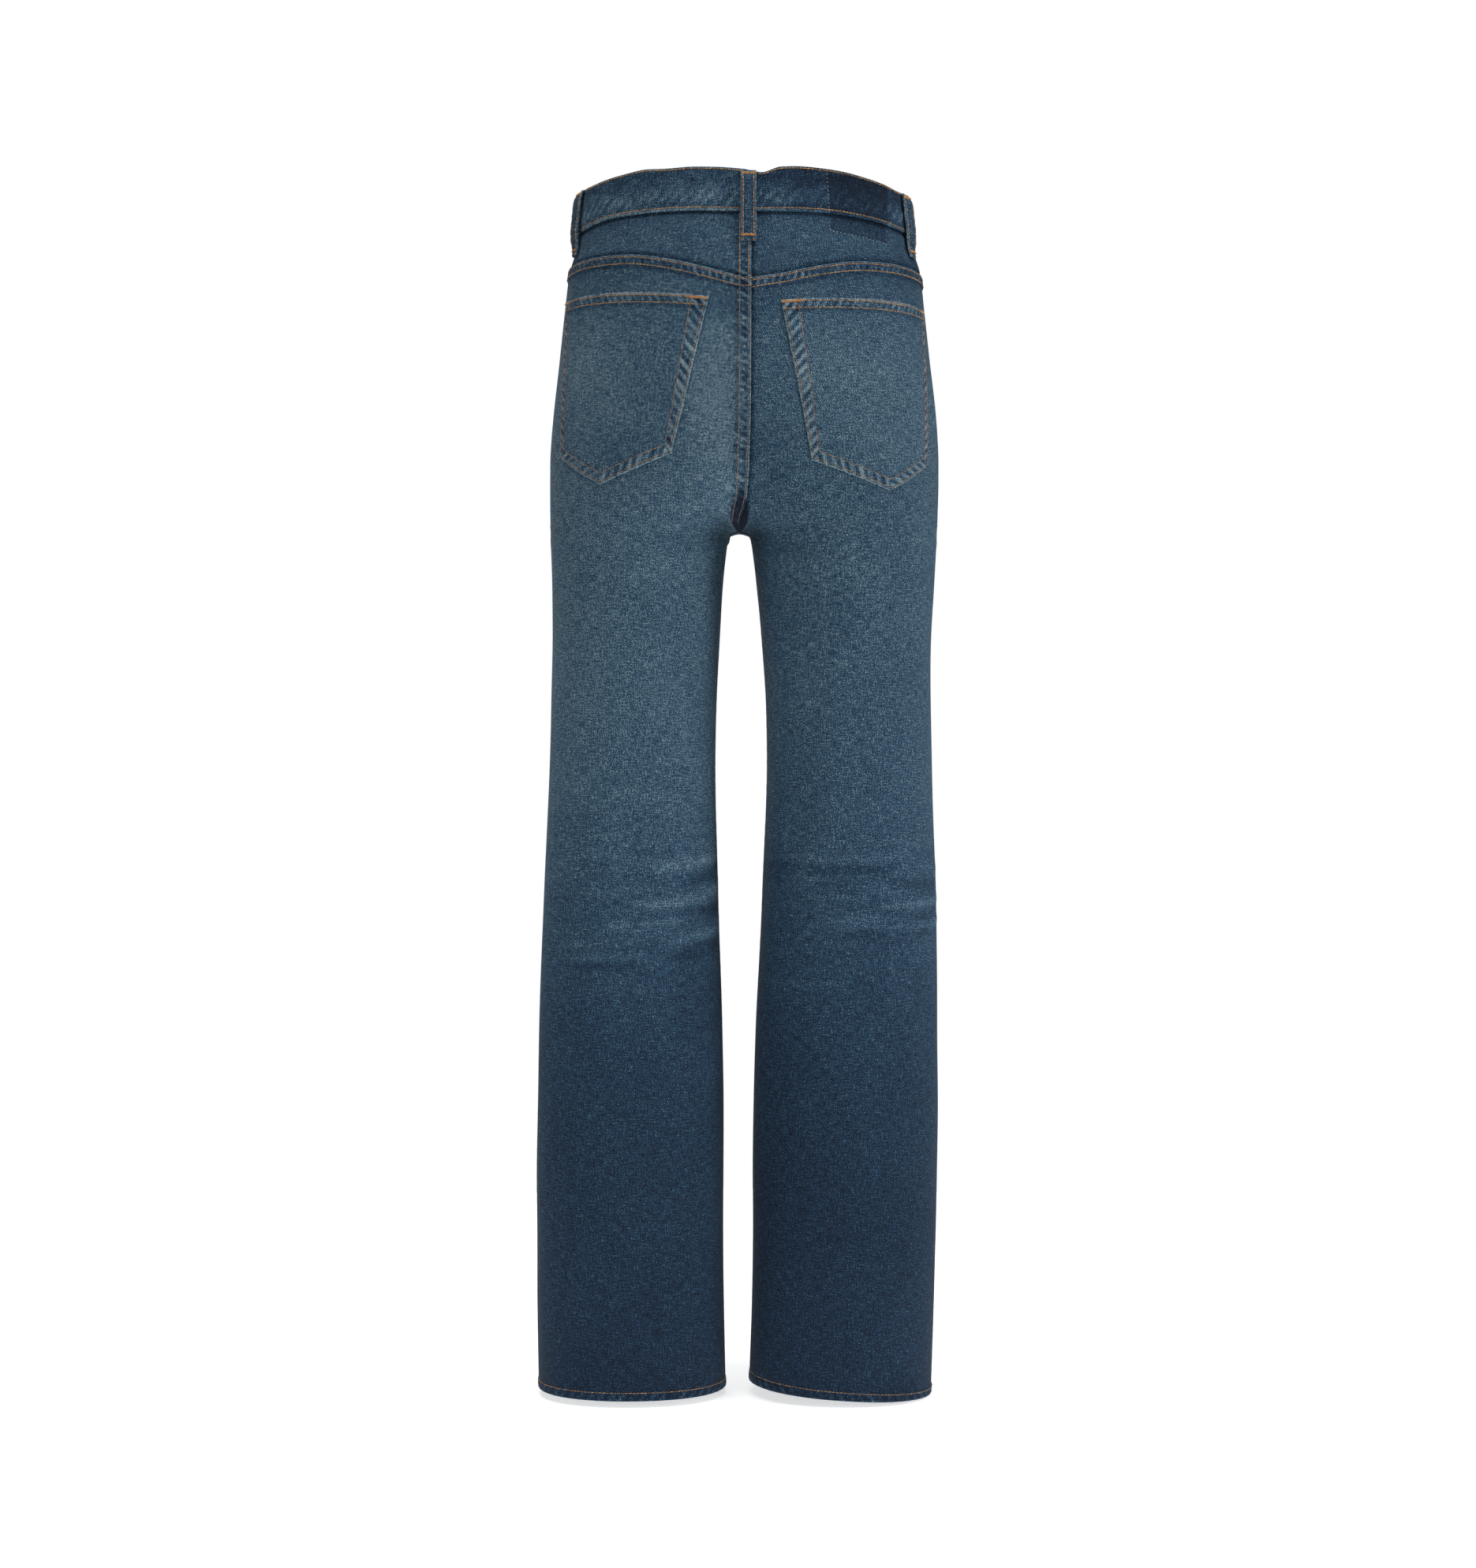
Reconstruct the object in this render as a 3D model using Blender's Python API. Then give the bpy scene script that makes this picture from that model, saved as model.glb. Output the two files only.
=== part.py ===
"""Straight-leg jeans with a high waist, filled out as when worn, with no wearer.

Sizes are in millimetres and are turned into metres where a mesh is made. The origin is the middle
of the waist opening, level with the waistband's top edge at the sides. +Z is up, the front faces -Y
and the wearer's left is +X. Each panel is a wall of cloth on one common form: two leg tubes that run
together above the crotch. A place on that form is an arc, measured round the section from the back
seam, and a height, which is negative below the waist.
"""

import functools
import math

import bmesh
import bpy
import numpy as np

MM = 0.001  # metres in a millimetre

# ---------------------------------------------------------------- driving dimensions
CLOTH = 1.2  # one layer of denim
SEAM_GAP = 0.3  # between pieces that are sewn together
EDGE_GAP = 0.5  # under the waistband, whose columns don't match the panels'
LENGTH = 1028.5  # from the waistband's top edge to the hem
# How far the hems drop at their outer edge and rise at their inner one, on the left and right.
HEM_TILT = {1: 0.0, -1: 4.7}
HEM_REACH = 90.0  # height above the hem over which this fades
BAND_CLOTH = 2.4  # its folded thickness
BAND_LIFT = 1.2  # how far its face stands off the form
CROTCH = -294.5  # height of the crotch point
BRIDGE = 8.0  # half the width of the arch between the legs
CROTCH_ROWS = 2.0  # within this height of the crotch point, the panels' edges keep off the middle

LAP_BACK = 5.5  # how far the left back laps over the right at the seat seam
LAP_FLY = 5.0  # and the left front over the right at the fly
LAP_FADE = 45.0  # height above the crotch over which the back lap runs out
FLY_BOTTOM = -200.0
FLY_FADE = 20.0
OUTSEAM_FORWARD = 10.0  # the outseams lie this far in front of the widest line
INSEAM_FORWARD = 7.0  # and the inseams this far in front of the innermost one
INSEAM_FADE = 70.0

SCOOP_WIDE = 78.0  # front pocket mouth along the waistband
SCOOP_BOTTOM = -116.0  # height at which the mouth meets the outseam
SCOOP_STEPS = 7
# The facing's columns, as distances from the outseam, and its rows above its lower edge. It runs on
# behind the mouth, and comes up to the other panels' face only along the outseam.
FACING_COLS = (0.0, 7.0, 15.0, 26.0, 39.0, 54.0, 70.0, 94.0)
FACING_ROWS = (0.0, 0.14, 0.24, 0.36, 0.5, 0.66, 0.83, 1.0)
FACING_BOTTOM = -132.0
FACING_DEPTH = 2.9  # from the form to its face, behind the mouth
FACING_RISE = 15.0  # and this far from the outseam
FACING_STEP = 18.0  # height over which it comes up, above the mouth's end

PATCH_LIFT = 0.8  # gap between a back pocket and its panel, more than the panel's facets sag
LOOP_WIDE = 13.0
LOOP_CLOTH = 1.8
LOOP_TUNNEL = 7.8  # room for a belt between loop and waistband
LOOP_TOP = -1.2  # below the waistband's edge
LOOP_FLAT = 1.35  # over 1, a loop is level over more of its middle
LOOP_FOOT = 0.6  # share of the step down from the waistband that a loop's lower end takes
LOOP_FADE = 8.0  # height over which it takes it

BUTTON_RADIUS = 8.5
BUTTON_THICK = 3.2
BUTTON_ARC = 13.0  # from the centre front, to the wearer's left
BUTTON_EDGE = 1.2  # its rounding
BUTTON_DISH = 0.5  # depth of its dished middle
BUTTON_FACETS = 16
STEM_RADIUS = 3.4
STEM_LENGTH = 1.4

# ---------------------------------------------------------------- the form
# One leg tube at each height: its outer and inner edges (x), its front and back (y), the depth at
# which it is widest, and how square the section is (2 is an ellipse). Above the crotch the tube
# runs over the middle, where the other leg's tube meets it.
FORM_COLUMNS = ("height", "outer", "inner", "front", "back", "middle", "square")
FORM = (
    (20.0, 138.0, -138.0, -86.0, 86.0, 0.0, 2.15),
    (0.0, 140.0, -140.0, -88.0, 88.0, 0.0, 2.15),
    (-40.0, 144.0, -144.0, -92.0, 93.0, 0.0, 2.15),
    (-56.0, 146.0, -146.0, -94.0, 98.0, 0.0, 2.15),
    (-72.0, 150.5, -150.5, -96.0, 103.0, 0.0, 2.2),
    (-110.0, 155.0, -155.0, -100.0, 112.0, 1.0, 2.2),
    (-150.0, 159.2, -159.2, -103.0, 119.0, 2.0, 2.25),
    (-195.0, 164.2, -164.2, -104.0, 124.0, 3.0, 2.3),
    (-216.0, 165.8, -135.0, -103.8, 123.4, 3.6, 2.3),
    (-236.0, 166.6, -98.0, -102.8, 121.5, 4.4, 2.3),
    (-254.0, 166.6, -62.0, -101.2, 118.8, 5.0, 2.3),
    (-268.0, 166.4, -36.0, -99.6, 116.0, 5.4, 2.3),
    (-279.0, 166.1, -17.0, -98.2, 113.6, 5.7, 2.3),
    (-287.5, 165.8, -3.0, -97.0, 111.6, 5.9, 2.3),
    (CROTCH, 165.6, BRIDGE, -96.0, 109.9, 6.0, 2.3),
    (-302.0, 165.4, 12.0, -94.9, 108.1, 6.0, 2.3),
    (-314.0, 164.9, 14.0, -93.3, 105.6, 5.8, 2.3),
    (-338.0, 163.9, 16.4, -90.4, 102.0, 5.0, 2.3),
    (-393.0, 162.4, 19.7, -86.0, 97.0, 4.0, 2.3),
    (-447.0, 163.2, 22.2, -81.0, 90.0, 3.0, 2.3),
    (-501.0, 164.3, 23.2, -77.0, 84.0, 2.0, 2.3),
    (-610.0, 168.0, 20.9, -71.0, 75.0, 0.0, 2.3),
    (-719.0, 171.4, 17.0, -66.0, 69.0, 0.0, 2.25),
    (-828.0, 172.6, 15.0, -62.0, 65.0, 0.0, 2.2),
    (-937.0, 171.2, 14.3, -60.0, 63.0, 0.0, 2.2),
    (-1040.0, 168.6, 13.5, -58.5, 61.5, 0.0, 2.2),
)
# The garment hangs a little to one side of the waist's middle, by these amounts at the legs' outer
# edges and between the legs.
LEAN_COLUMNS = ("height", "outer", "inner")
LEAN = (
    (20.0, 0.0, 0.0),
    (-195.0, 0.3, 0.6),
    (-250.0, 0.6, 2.0),
    (-295.0, 1.2, 4.3),
    (-338.0, 1.5, 4.2),
    (-379.0, 2.2, 3.5),
    (-474.0, 2.9, 2.9),
    (-583.0, 3.8, 3.5),
    (-692.0, 4.6, 4.3),
    (-801.0, 5.2, 5.2),
    (-910.0, 6.5, 5.7),
    (-1040.0, 8.0, 6.0),
)

# ---------------------------------------------------------------- seam lines round the waist
# The waistband's top edge, its lower edge and the yoke seam: their heights at an arc from the
# centre back, on the wearer's left and right.
LINE_COLUMNS = ("arc", "left", "right")
WAIST_EDGE = (
    (0.0, -2.0, -2.0),
    (14.0, -0.6, -4.6),
    (30.0, 0.3, 0.4),
    (46.0, 0.8, 1.2),
    (66.0, 0.2, 0.4),
    (84.0, 1.0, -1.0),
    (104.0, -0.9, -3.8),
    (124.0, -2.8, -6.6),
    (144.0, -4.6, -9.4),
    (176.0, -5.0, -9.0),
    (220.0, -6.0, -8.0),
    (300.0, -9.0, -9.0),
    (380.0, -11.0, -11.0),
)
WAIST_SEAM = (
    (0.0, -38.5, -38.5),
    (60.0, -36.8, -37.8),
    (110.0, -37.6, -41.0),
    (150.0, -41.6, -44.6),
    (210.0, -43.0, -45.0),
    (300.0, -46.5, -47.0),
    (380.0, -49.0, -49.0),
)
YOKE_SEAM = (
    (0.0, -96.0, -97.0),
    (29.0, -87.5, -92.0),
    (63.0, -78.5, -84.0),
    (101.0, -72.0, -77.8),
    (148.0, -70.0, -76.2),
    (215.0, -70.5, -76.5),
    (260.0, -72.0, -77.0),
)

# ---------------------------------------------------------------- back pockets
# The corners of each pocket on its panel: arc from the centre back, and height.
POCKET_COLUMNS = ("corner", "left_arc", "left_height", "right_arc", "right_height")
POCKETS = (
    ("top_inner", 29.0, -112.0, 29.5, -115.0),
    ("top_outer", 183.0, -102.0, 180.0, -110.0),
    ("low_inner", 58.5, -241.5, 56.0, -247.0),
    ("tip", 120.0, -265.5, 124.0, -270.5),
    ("low_outer", 173.0, -238.0, 171.0, -244.5),
)
POCKET_CROWN = 1.5  # rise of the mouth's middle over a straight line
POCKET_COLS = 12
POCKET_ROWS = 7

# Belt loops: the side they are on, their arc from the centre back, and their length.
LOOPS = (
    ("loop_back", -1, 3.0, 61.0),
    ("loop_side_left", 1, 160.0, 56.0),
    ("loop_side_right", -1, 152.0, 55.0),
    ("loop_front_left", 1, 292.0, 58.0),
    ("loop_front_right", -1, 288.0, 58.0),
)
LOOP_STEPS = 10
LOOP_PEAK = 0.8  # under 1, the loops stand off most above their middle

# ---------------------------------------------------------------- rows of the leg panels
LEG_ROWS = (
    *(-LENGTH, -930.0, -830.0, -732.0, -640.0, -560.0, -488.0, -424.0, -370.0, -330.0, -311.0, -302.0),
    *(-298.0, CROTCH, -291.0, -286.0, -278.0, -267.0, -252.0, -234.0, -212.0, -189.0, -166.0, -146.0),
)
# A panel's columns are even over OUTER_SHARE of its usual width, from its outer edge. The rest,
# which grows and shrinks fast at the crotch, has its own columns.
OUTER_COLS = 9
INNER_COLS = 4
OUTER_SHARE = 0.72
BACK_WIDTH = 242.0
FRONT_WIDTH = 206.0
TOP_STEPS = 3  # rows between the last level row and a back panel's slanting top
YOKE_ROWS = 3
BAND_ROWS = 2
BAND_STEP = 13.0  # length of a waistband column
BAND_TAIL = 42.0  # how far the right end runs on behind the left
BAND_SINK = 26.0  # length over which it drops behind
RING_POINTS = 160  # points in a quarter of a section

COLOURS = {
    "denim": (0.075, 0.125, 0.20, 1.0),
    "denim_dark": (0.05, 0.09, 0.16, 1.0),
    "brass": (0.45, 0.30, 0.13, 1.0),
}


# ---------------------------------------------------------------- tables
def column(table, names, name):
    return np.array([row[names.index(name)] for row in table], float)


@functools.lru_cache(maxsize=None)
def knots(table, names, name):
    """The points of one column of a table over its first column, and the curve's slope at each."""
    x, y = column(table, names, names[0]), column(table, names, name)
    if x[0] > x[-1]:
        x, y = x[::-1], y[::-1]
    step = np.diff(x)
    slope = np.diff(y) / step
    tangent = np.concatenate([[slope[0]], np.zeros(len(x) - 2), [slope[-1]]])
    same = slope[:-1] * slope[1:] > 0
    w1, w2 = 2 * step[1:] + step[:-1], step[1:] + 2 * step[:-1]
    mean = (w1 + w2)[same] / (w1[same] / slope[:-1][same] + w2[same] / slope[1:][same])
    tangent[1:-1][same] = mean
    return x, y, step, tangent


def along(table, names, name, at):
    """A smooth, never overshooting curve through one column of a table."""
    x, y, step, tangent = knots(table, names, name)
    at = min(max(float(at), x[0]), x[-1])
    i = min(max(int(np.searchsorted(x, at)) - 1, 0), len(step) - 1)
    u = (at - x[i]) / step[i]
    return (
        (1 + 2 * u) * (1 - u) ** 2 * y[i]
        + u * (1 - u) ** 2 * step[i] * tangent[i]
        + u**2 * (3 - 2 * u) * y[i + 1]
        + u**2 * (u - 1) * step[i] * tangent[i + 1]
    )


def tube(name, height):
    return along(FORM, FORM_COLUMNS, name, height)


def line(table, side, arc):
    """The height of a seam line at an arc, on the wearer's left (side 1) or right (side -1)."""
    return along(table, LINE_COLUMNS, "left" if side > 0 else "right", abs(arc))


def ease(value):
    """0 to 1 as value goes from 0 to 1, with level ends."""
    value = min(max(value, 0.0), 1.0)
    return value * value * (3 - 2 * value)


# ---------------------------------------------------------------- the form's surface
def level(x, y, height):
    """1 on the form's surface, more outside it and less inside."""
    outer, inner, middle = tube("outer", height), tube("inner", height), tube("middle", height)
    square = tube("square", height)
    depth = tube("back", height) - middle if y > middle else middle - tube("front", height)
    soft = math.hypot(x, BRIDGE)
    across = abs(soft - (outer + inner) / 2) / ((outer - inner) / 2)
    return (across**square + abs((y - middle) / depth) ** square) ** (1 / square)


def outward(x, y, height):
    """The unit normal of the form at a point on it."""
    near, tall = 0.02, 0.4
    gradient = np.array([
        (level(x + near, y, height) - level(x - near, y, height)) / (2 * near),
        (level(x, y + near, height) - level(x, y - near, height)) / (2 * near),
        (level(x, y, height + tall) - level(x, y, height - tall)) / (2 * tall),
    ])
    return gradient / np.linalg.norm(gradient)


@functools.lru_cache(maxsize=None)
def half_ring(height):
    """Points of half a section, from the back seam round the outside to the front seam, and their arcs."""
    outer, inner, middle = tube("outer", height), tube("inner", height), tube("middle", height)
    square = tube("square", height)
    centre, half = (outer + inner) / 2, (outer - inner) / 2
    cosine = max((BRIDGE - centre) / half, -1.0)
    last = math.acos(math.copysign(abs(cosine) ** (square / 2), cosine))
    turn = last * np.sin(np.linspace(math.pi / 2, 0, RING_POINTS))
    soft = centre + half * np.sign(np.cos(turn)) * np.abs(np.cos(turn)) ** (2 / square)
    x = np.sqrt(np.maximum(soft * soft - BRIDGE**2, 0))
    rise = np.abs(np.sin(turn)) ** (2 / square)
    back = middle + (tube("back", height) - middle) * rise
    front = middle + (tube("front", height) - middle) * rise
    xs = np.concatenate([x, x[-2::-1]])
    ys = np.concatenate([back, front[-2::-1]])
    arcs = np.concatenate([[0], np.cumsum(np.hypot(np.diff(xs), np.diff(ys)))])
    return xs, ys, arcs


def outseam(height):
    return half_ring(height)[2][RING_POINTS - 1] + OUTSEAM_FORWARD


def full_arc(height):
    return half_ring(height)[2][-1]


def place(side, arc, height, lift=0.0):
    """The point of the form at an arc and height on one side, moved out by lift, in millimetres.

    Above the crotch an arc past either seam is on the other side. Below it, it runs on round the leg.
    At last the garment's lean and the hem's tilt are added.
    """
    xs, ys, arcs = half_ring(height)
    whole = arcs[-1]
    if height > CROTCH:
        if arc < 0 or arc > whole:
            side = -side
            arc = -arc if arc < 0 else 2 * whole - arc
    else:
        arc = arc % whole
    x, y = np.interp(arc, arcs, xs), np.interp(arc, arcs, ys)
    x, y, z = np.array([x, y, height]) + lift * outward(x, y, height)
    if abs(height - CROTCH) < CROTCH_ROWS:
        x = max(x, SEAM_GAP / 2)
    inner, outer = max(tube("inner", height), 0.0), tube("outer", height)
    share = ease((x - inner) / (outer - inner))
    leans = [along(LEAN, LEAN_COLUMNS, name, height) for name in ("inner", "outer")]
    lean = leans[0] + (leans[1] - leans[0]) * share
    drop = HEM_TILT[side] * (2 * (x - inner) / (outer - inner) - 1)
    return np.array([side * x + lean, y, z - drop * ease(1 + (-LENGTH - height) / HEM_REACH)])


# ---------------------------------------------------------------- seams between panels
def lap_back(height):
    return LAP_BACK * ease((height - CROTCH) / LAP_FADE)


def lap_fly(height):
    return LAP_FLY * ease((height - FLY_BOTTOM) / FLY_FADE)


def inseam_shift(height):
    return INSEAM_FORWARD * ease((CROTCH - height) / INSEAM_FADE)


def back_edge(side, height):
    """Arc of a back panel's inner edge: the seat seam, then the inseam."""
    return -side * lap_back(height) - inseam_shift(height) + SEAM_GAP / 2


def front_edge(side, height):
    """Arc of a front panel's inner edge: the fly and front seam, then the inseam."""
    lap = side * lap_fly(height)
    return full_arc(height) + lap - inseam_shift(height) - SEAM_GAP / 2


# ---------------------------------------------------------------- meshes
def material(name):
    found = bpy.data.materials.get(name)
    if found:
        return found
    made = bpy.data.materials.new(name)
    made.use_nodes = True
    shader = made.node_tree.nodes["Principled BSDF"]
    shader.inputs["Base Color"].default_value = COLOURS[name]
    shader.inputs["Roughness"].default_value = 0.35 if name == "brass" else 0.9
    shader.inputs["Metallic"].default_value = 1.0 if name == "brass" else 0.0
    return made


def finish(name, mesh_maker, finish_name):
    """Turns a bmesh into a named object, faces pointing out."""
    bmesh.ops.recalc_face_normals(mesh_maker, faces=mesh_maker.faces)
    if mesh_maker.calc_volume(signed=True) < 0:
        bmesh.ops.reverse_faces(mesh_maker, faces=mesh_maker.faces)
    mesh = bpy.data.meshes.new(name)
    mesh_maker.to_mesh(mesh)
    mesh_maker.free()
    mesh.shade_smooth()
    mesh.set_sharp_from_angle(angle=math.radians(40))
    mesh.materials.append(material(finish_name))
    made = bpy.data.objects.new(name, mesh)
    bpy.context.scene.collection.objects.link(made)
    return made


def wall(name, face, lining, finish_name="denim"):
    """A closed wall of cloth between two grids of points: its face, and the same grid on its inside."""
    rows, cols = len(face), len(face[0])
    cloth = bmesh.new()
    outer = [[cloth.verts.new(point * MM) for point in row] for row in face]
    inner = [[cloth.verts.new(point * MM) for point in row] for row in lining]
    for grid in (outer, inner):
        for r in range(rows - 1):
            for c in range(cols - 1):
                cloth.faces.new((grid[r][c], grid[r][c + 1], grid[r + 1][c + 1], grid[r + 1][c]))
    rim = [(0, c) for c in range(cols)]
    rim += [(r, cols - 1) for r in range(1, rows)]
    rim += [(rows - 1, c) for c in range(cols - 2, -1, -1)]
    rim += [(r, 0) for r in range(rows - 2, 0, -1)]
    for (r1, c1), (r2, c2) in zip(rim, rim[1:] + rim[:1]):
        cloth.faces.new((outer[r1][c1], outer[r2][c2], inner[r2][c2], inner[r1][c1]))
    return finish(name, cloth, finish_name)


def panel(name, side, spots, lift=0.0, thick=CLOTH, finish_name="denim"):
    """A wall on the form through a grid of (arc, height) spots."""
    face = [[place(side, arc, height, lift) for arc, height in row] for row in spots]
    lining = [[place(side, arc, height, lift - thick) for arc, height in row] for row in spots]
    return wall(name, face, lining, finish_name)


def columns(outer, inner, width):
    """The arcs of a panel's columns, from its outer edge to its inner one."""
    turn = outer + math.copysign(OUTER_SHARE * width, inner - outer)
    return [*np.linspace(outer, turn, OUTER_COLS + 1)[:-1], *np.linspace(turn, inner, INNER_COLS + 1)]


def settle(edges, width, column_number, height_at):
    """The arc and height of a spot in a slanting row, where each depends on the other."""
    height = height_at(0.0)
    for _ in range(4):
        arc = columns(*edges(height), width)[column_number]
        height = float(height_at(arc))
    return arc, height


# ---------------------------------------------------------------- panels
def back_edges(side):
    return lambda height: (outseam(height) - SEAM_GAP / 2, back_edge(side, height))


def back_panel(name, side):
    edges, count = back_edges(side), OUTER_COLS + INNER_COLS + 1
    spots = [[(arc, height) for arc in columns(*edges(height), BACK_WIDTH)] for height in LEG_ROWS]
    shared = LEG_ROWS[-1]
    for step in range(1, TOP_STEPS + 1):
        def height_at(arc, share=step / TOP_STEPS):
            return shared + (line(YOKE_SEAM, side, arc) - shared) * share

        spots.append([settle(edges, BACK_WIDTH, c, height_at) for c in range(count)])
    return panel(name, side, spots)


def yoke_panel(name, side):
    spots = []
    for step in range(YOKE_ROWS + 1):
        def height_at(arc, share=step / YOKE_ROWS):
            low = line(YOKE_SEAM, side, arc) + SEAM_GAP
            high = line(WAIST_SEAM, side, arc) - EDGE_GAP
            return low + (high - low) * share

        count = OUTER_COLS + INNER_COLS + 1
        spots.append([settle(back_edges(side), BACK_WIDTH, c, height_at) for c in range(count)])
    return panel(name, side, spots)


def front_panel(name, side):
    """The front leg, with the pocket mouth cut out of its upper outer corner."""
    spots = []
    for height in (*(row for row in LEG_ROWS if row < SCOOP_BOTTOM), SCOOP_BOTTOM):
        arcs = columns(outseam(height) + SEAM_GAP / 2, front_edge(side, height), FRONT_WIDTH)
        spots.append([(arc, height) for arc in arcs])
    for step in range(1, SCOOP_STEPS + 1):
        turn = math.pi / 2 * step / SCOOP_STEPS
        cut = SCOOP_WIDE * math.sin(turn)

        def edges(height, cut=cut):
            return outseam(height) + SEAM_GAP / 2 + cut, front_edge(side, height)

        def height_at(arc, share=1 - math.cos(turn)):
            return SCOOP_BOTTOM + (line(WAIST_SEAM, side, arc) - EDGE_GAP - SCOOP_BOTTOM) * share

        count = OUTER_COLS + INNER_COLS + 1
        spots.append([settle(edges, FRONT_WIDTH - cut, c, height_at) for c in range(count)])
    return panel(name, side, spots)


def pocket_facing(name, side):
    """The piece of denim that shows in a front pocket's mouth."""
    face, lining = [], []
    for share in FACING_ROWS:
        face_row, lining_row = [], []
        for inset in FACING_COLS:
            height = FACING_BOTTOM
            for _ in range(3):
                arc = outseam(height) + SEAM_GAP / 2 + inset
                high = line(WAIST_SEAM, side, arc) - EDGE_GAP
                height = FACING_BOTTOM + (high - FACING_BOTTOM) * share
            below = ease((SCOOP_BOTTOM + FACING_STEP - height) / FACING_STEP)
            depth = FACING_DEPTH * max(ease(inset / FACING_RISE), below)
            face_row.append(place(side, arc, height, -depth))
            lining_row.append(place(side, arc, height, -depth - CLOTH))
        face.append(face_row)
        lining.append(lining_row)
    return wall(name, face, lining, "denim_dark")


def corners(side, what):
    """The arc or the height of each corner of one side's pocket."""
    which = "left" if side > 0 else "right"
    at = POCKET_COLUMNS.index(f"{which}_{what}")
    return {row[0]: row[at] for row in POCKETS}


def pocket(name, side):
    """A pointed patch pocket, on the form that its back panel lies on, moved out."""
    arcs, heights = corners(side, "arc"), corners(side, "height")
    tip_share = (arcs["tip"] - arcs["low_inner"]) / (arcs["low_outer"] - arcs["low_inner"])
    shares = np.concatenate([
        np.linspace(0, tip_share, POCKET_COLS // 2 + 1)[:-1],
        np.linspace(tip_share, 1, POCKET_COLS // 2 + 1),
    ])
    spots = []
    for step in range(POCKET_ROWS + 1):
        up = step / POCKET_ROWS
        inner = arcs["low_inner"] + (arcs["top_inner"] - arcs["low_inner"]) * up
        outer = arcs["low_outer"] + (arcs["top_outer"] - arcs["low_outer"]) * up
        row = []
        for share in shares:
            low = np.interp(
                share,
                [0, tip_share, 1],
                [heights["low_inner"], heights["tip"], heights["low_outer"]],
            )
            top = np.interp(share, [0, 1], [heights["top_inner"], heights["top_outer"]])
            top += 4 * POCKET_CROWN * share * (1 - share)
            row.append((inner + (outer - inner) * share, float(low + (top - low) * up)))
        spots.append(row)
    return panel(name, side, spots, PATCH_LIFT + CLOTH)


def waistband():
    """One strip from its left front end round the back to its right end, which runs on behind the left."""
    girth = full_arc(0.0)
    start = -(girth + LAP_FLY)  # arcs on the wearer's left are counted as negative here
    behind = girth - LAP_FLY  # from here the right end is behind the left one
    travels = np.linspace(start, behind, math.ceil((behind - start) / BAND_STEP) + 1)
    tail = np.linspace(behind, behind + BAND_TAIL, math.ceil(BAND_TAIL / BAND_STEP) + 1)
    face, lining = [], []
    for travel in (*travels, *tail[1:]):
        under = (BAND_CLOTH + SEAM_GAP) * ease((travel - behind + BAND_SINK) / BAND_SINK)
        face_row, lining_row = [], []
        for row in range(BAND_ROWS + 1):
            side = 1 if travel < 0 else -1
            arc = abs(travel)
            seen_side, seen_arc = (side, arc) if arc <= girth else (-side, 2 * girth - arc)
            low, high = line(WAIST_SEAM, seen_side, seen_arc), line(WAIST_EDGE, seen_side, seen_arc)
            height = float(low + (high - low) * row / BAND_ROWS)
            scale = full_arc(height) / girth  # the strip keeps its place as the section widens
            lift = BAND_LIFT - under
            face_row.append(place(side, arc * scale, height, lift))
            lining_row.append(place(side, arc * scale, height, lift - BAND_CLOTH))
        face.append(face_row)
        lining.append(lining_row)
    return wall("waistband", face, lining)


def belt_loop(name, side, arc, length):
    """A strip tacked to the waistband's edge and to the cloth below it, standing off in between."""
    top = float(line(WAIST_EDGE, side, arc)) + LOOP_TOP
    rows = []
    for step in range(LOOP_STEPS + 1):
        share = step / LOOP_STEPS
        height = top - length * share
        bow = min(1.0, math.sin(math.pi * share**LOOP_PEAK) * LOOP_FLAT)
        below = 1 - ease((height - line(WAIST_SEAM, side, arc) + LOOP_FADE / 2) / LOOP_FADE)
        rows.append((height, BAND_LIFT * (1 - LOOP_FOOT * below) + SEAM_GAP + LOOP_TUNNEL * ease(bow)))
    scale = 1 / full_arc(0.0)
    face, lining = [], []
    for height, lift in rows:
        middle = arc * full_arc(height) * scale
        across = [middle + LOOP_WIDE * (c / 2 - 0.5) for c in range(3)]
        face.append([place(side, a, height, lift + LOOP_CLOTH) for a in across])
        lining.append([place(side, a, height, lift) for a in across])
    return wall(name, face, lining)


def waist_button():
    """A turned jeans button on a short stem, against the waistband's left end."""
    girth = full_arc(0.0)
    arc = girth - BUTTON_ARC
    height = float(line(WAIST_EDGE, 1, arc) + line(WAIST_SEAM, 1, arc)) / 2
    around = arc * full_arc(height) / girth
    seat = place(1, around, height, BAND_LIFT + SEAM_GAP)
    axis = seat - place(1, around, height)
    axis /= np.linalg.norm(axis)
    flange, dome = BUTTON_RADIUS - BUTTON_EDGE, STEM_LENGTH + BUTTON_THICK
    profile = (
        (0.0, 0.0),
        (STEM_RADIUS, 0.0),
        (STEM_RADIUS, STEM_LENGTH),
        (flange, STEM_LENGTH),
        (BUTTON_RADIUS, STEM_LENGTH + BUTTON_EDGE),
        (BUTTON_RADIUS, dome - BUTTON_EDGE),
        (flange, dome),
        (flange - BUTTON_EDGE, dome - BUTTON_DISH),
        (0.0, dome - BUTTON_DISH),
    )
    turned = bmesh.new()
    points = [turned.verts.new((r * MM, 0, z * MM)) for r, z in profile]
    edges = [turned.edges.new(pair) for pair in zip(points, points[1:])]
    bmesh.ops.spin(
        turned, geom=points + edges, cent=(0, 0, 0), axis=(0, 0, 1), angle=math.tau, steps=BUTTON_FACETS
    )
    bmesh.ops.remove_doubles(turned, verts=turned.verts, dist=0.01 * MM)
    made = finish("waist_button", turned, "brass")
    made.location = seat * MM
    made.rotation_mode = "QUATERNION"
    made.rotation_quaternion = quaternion_from_z(axis)
    return made


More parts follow.
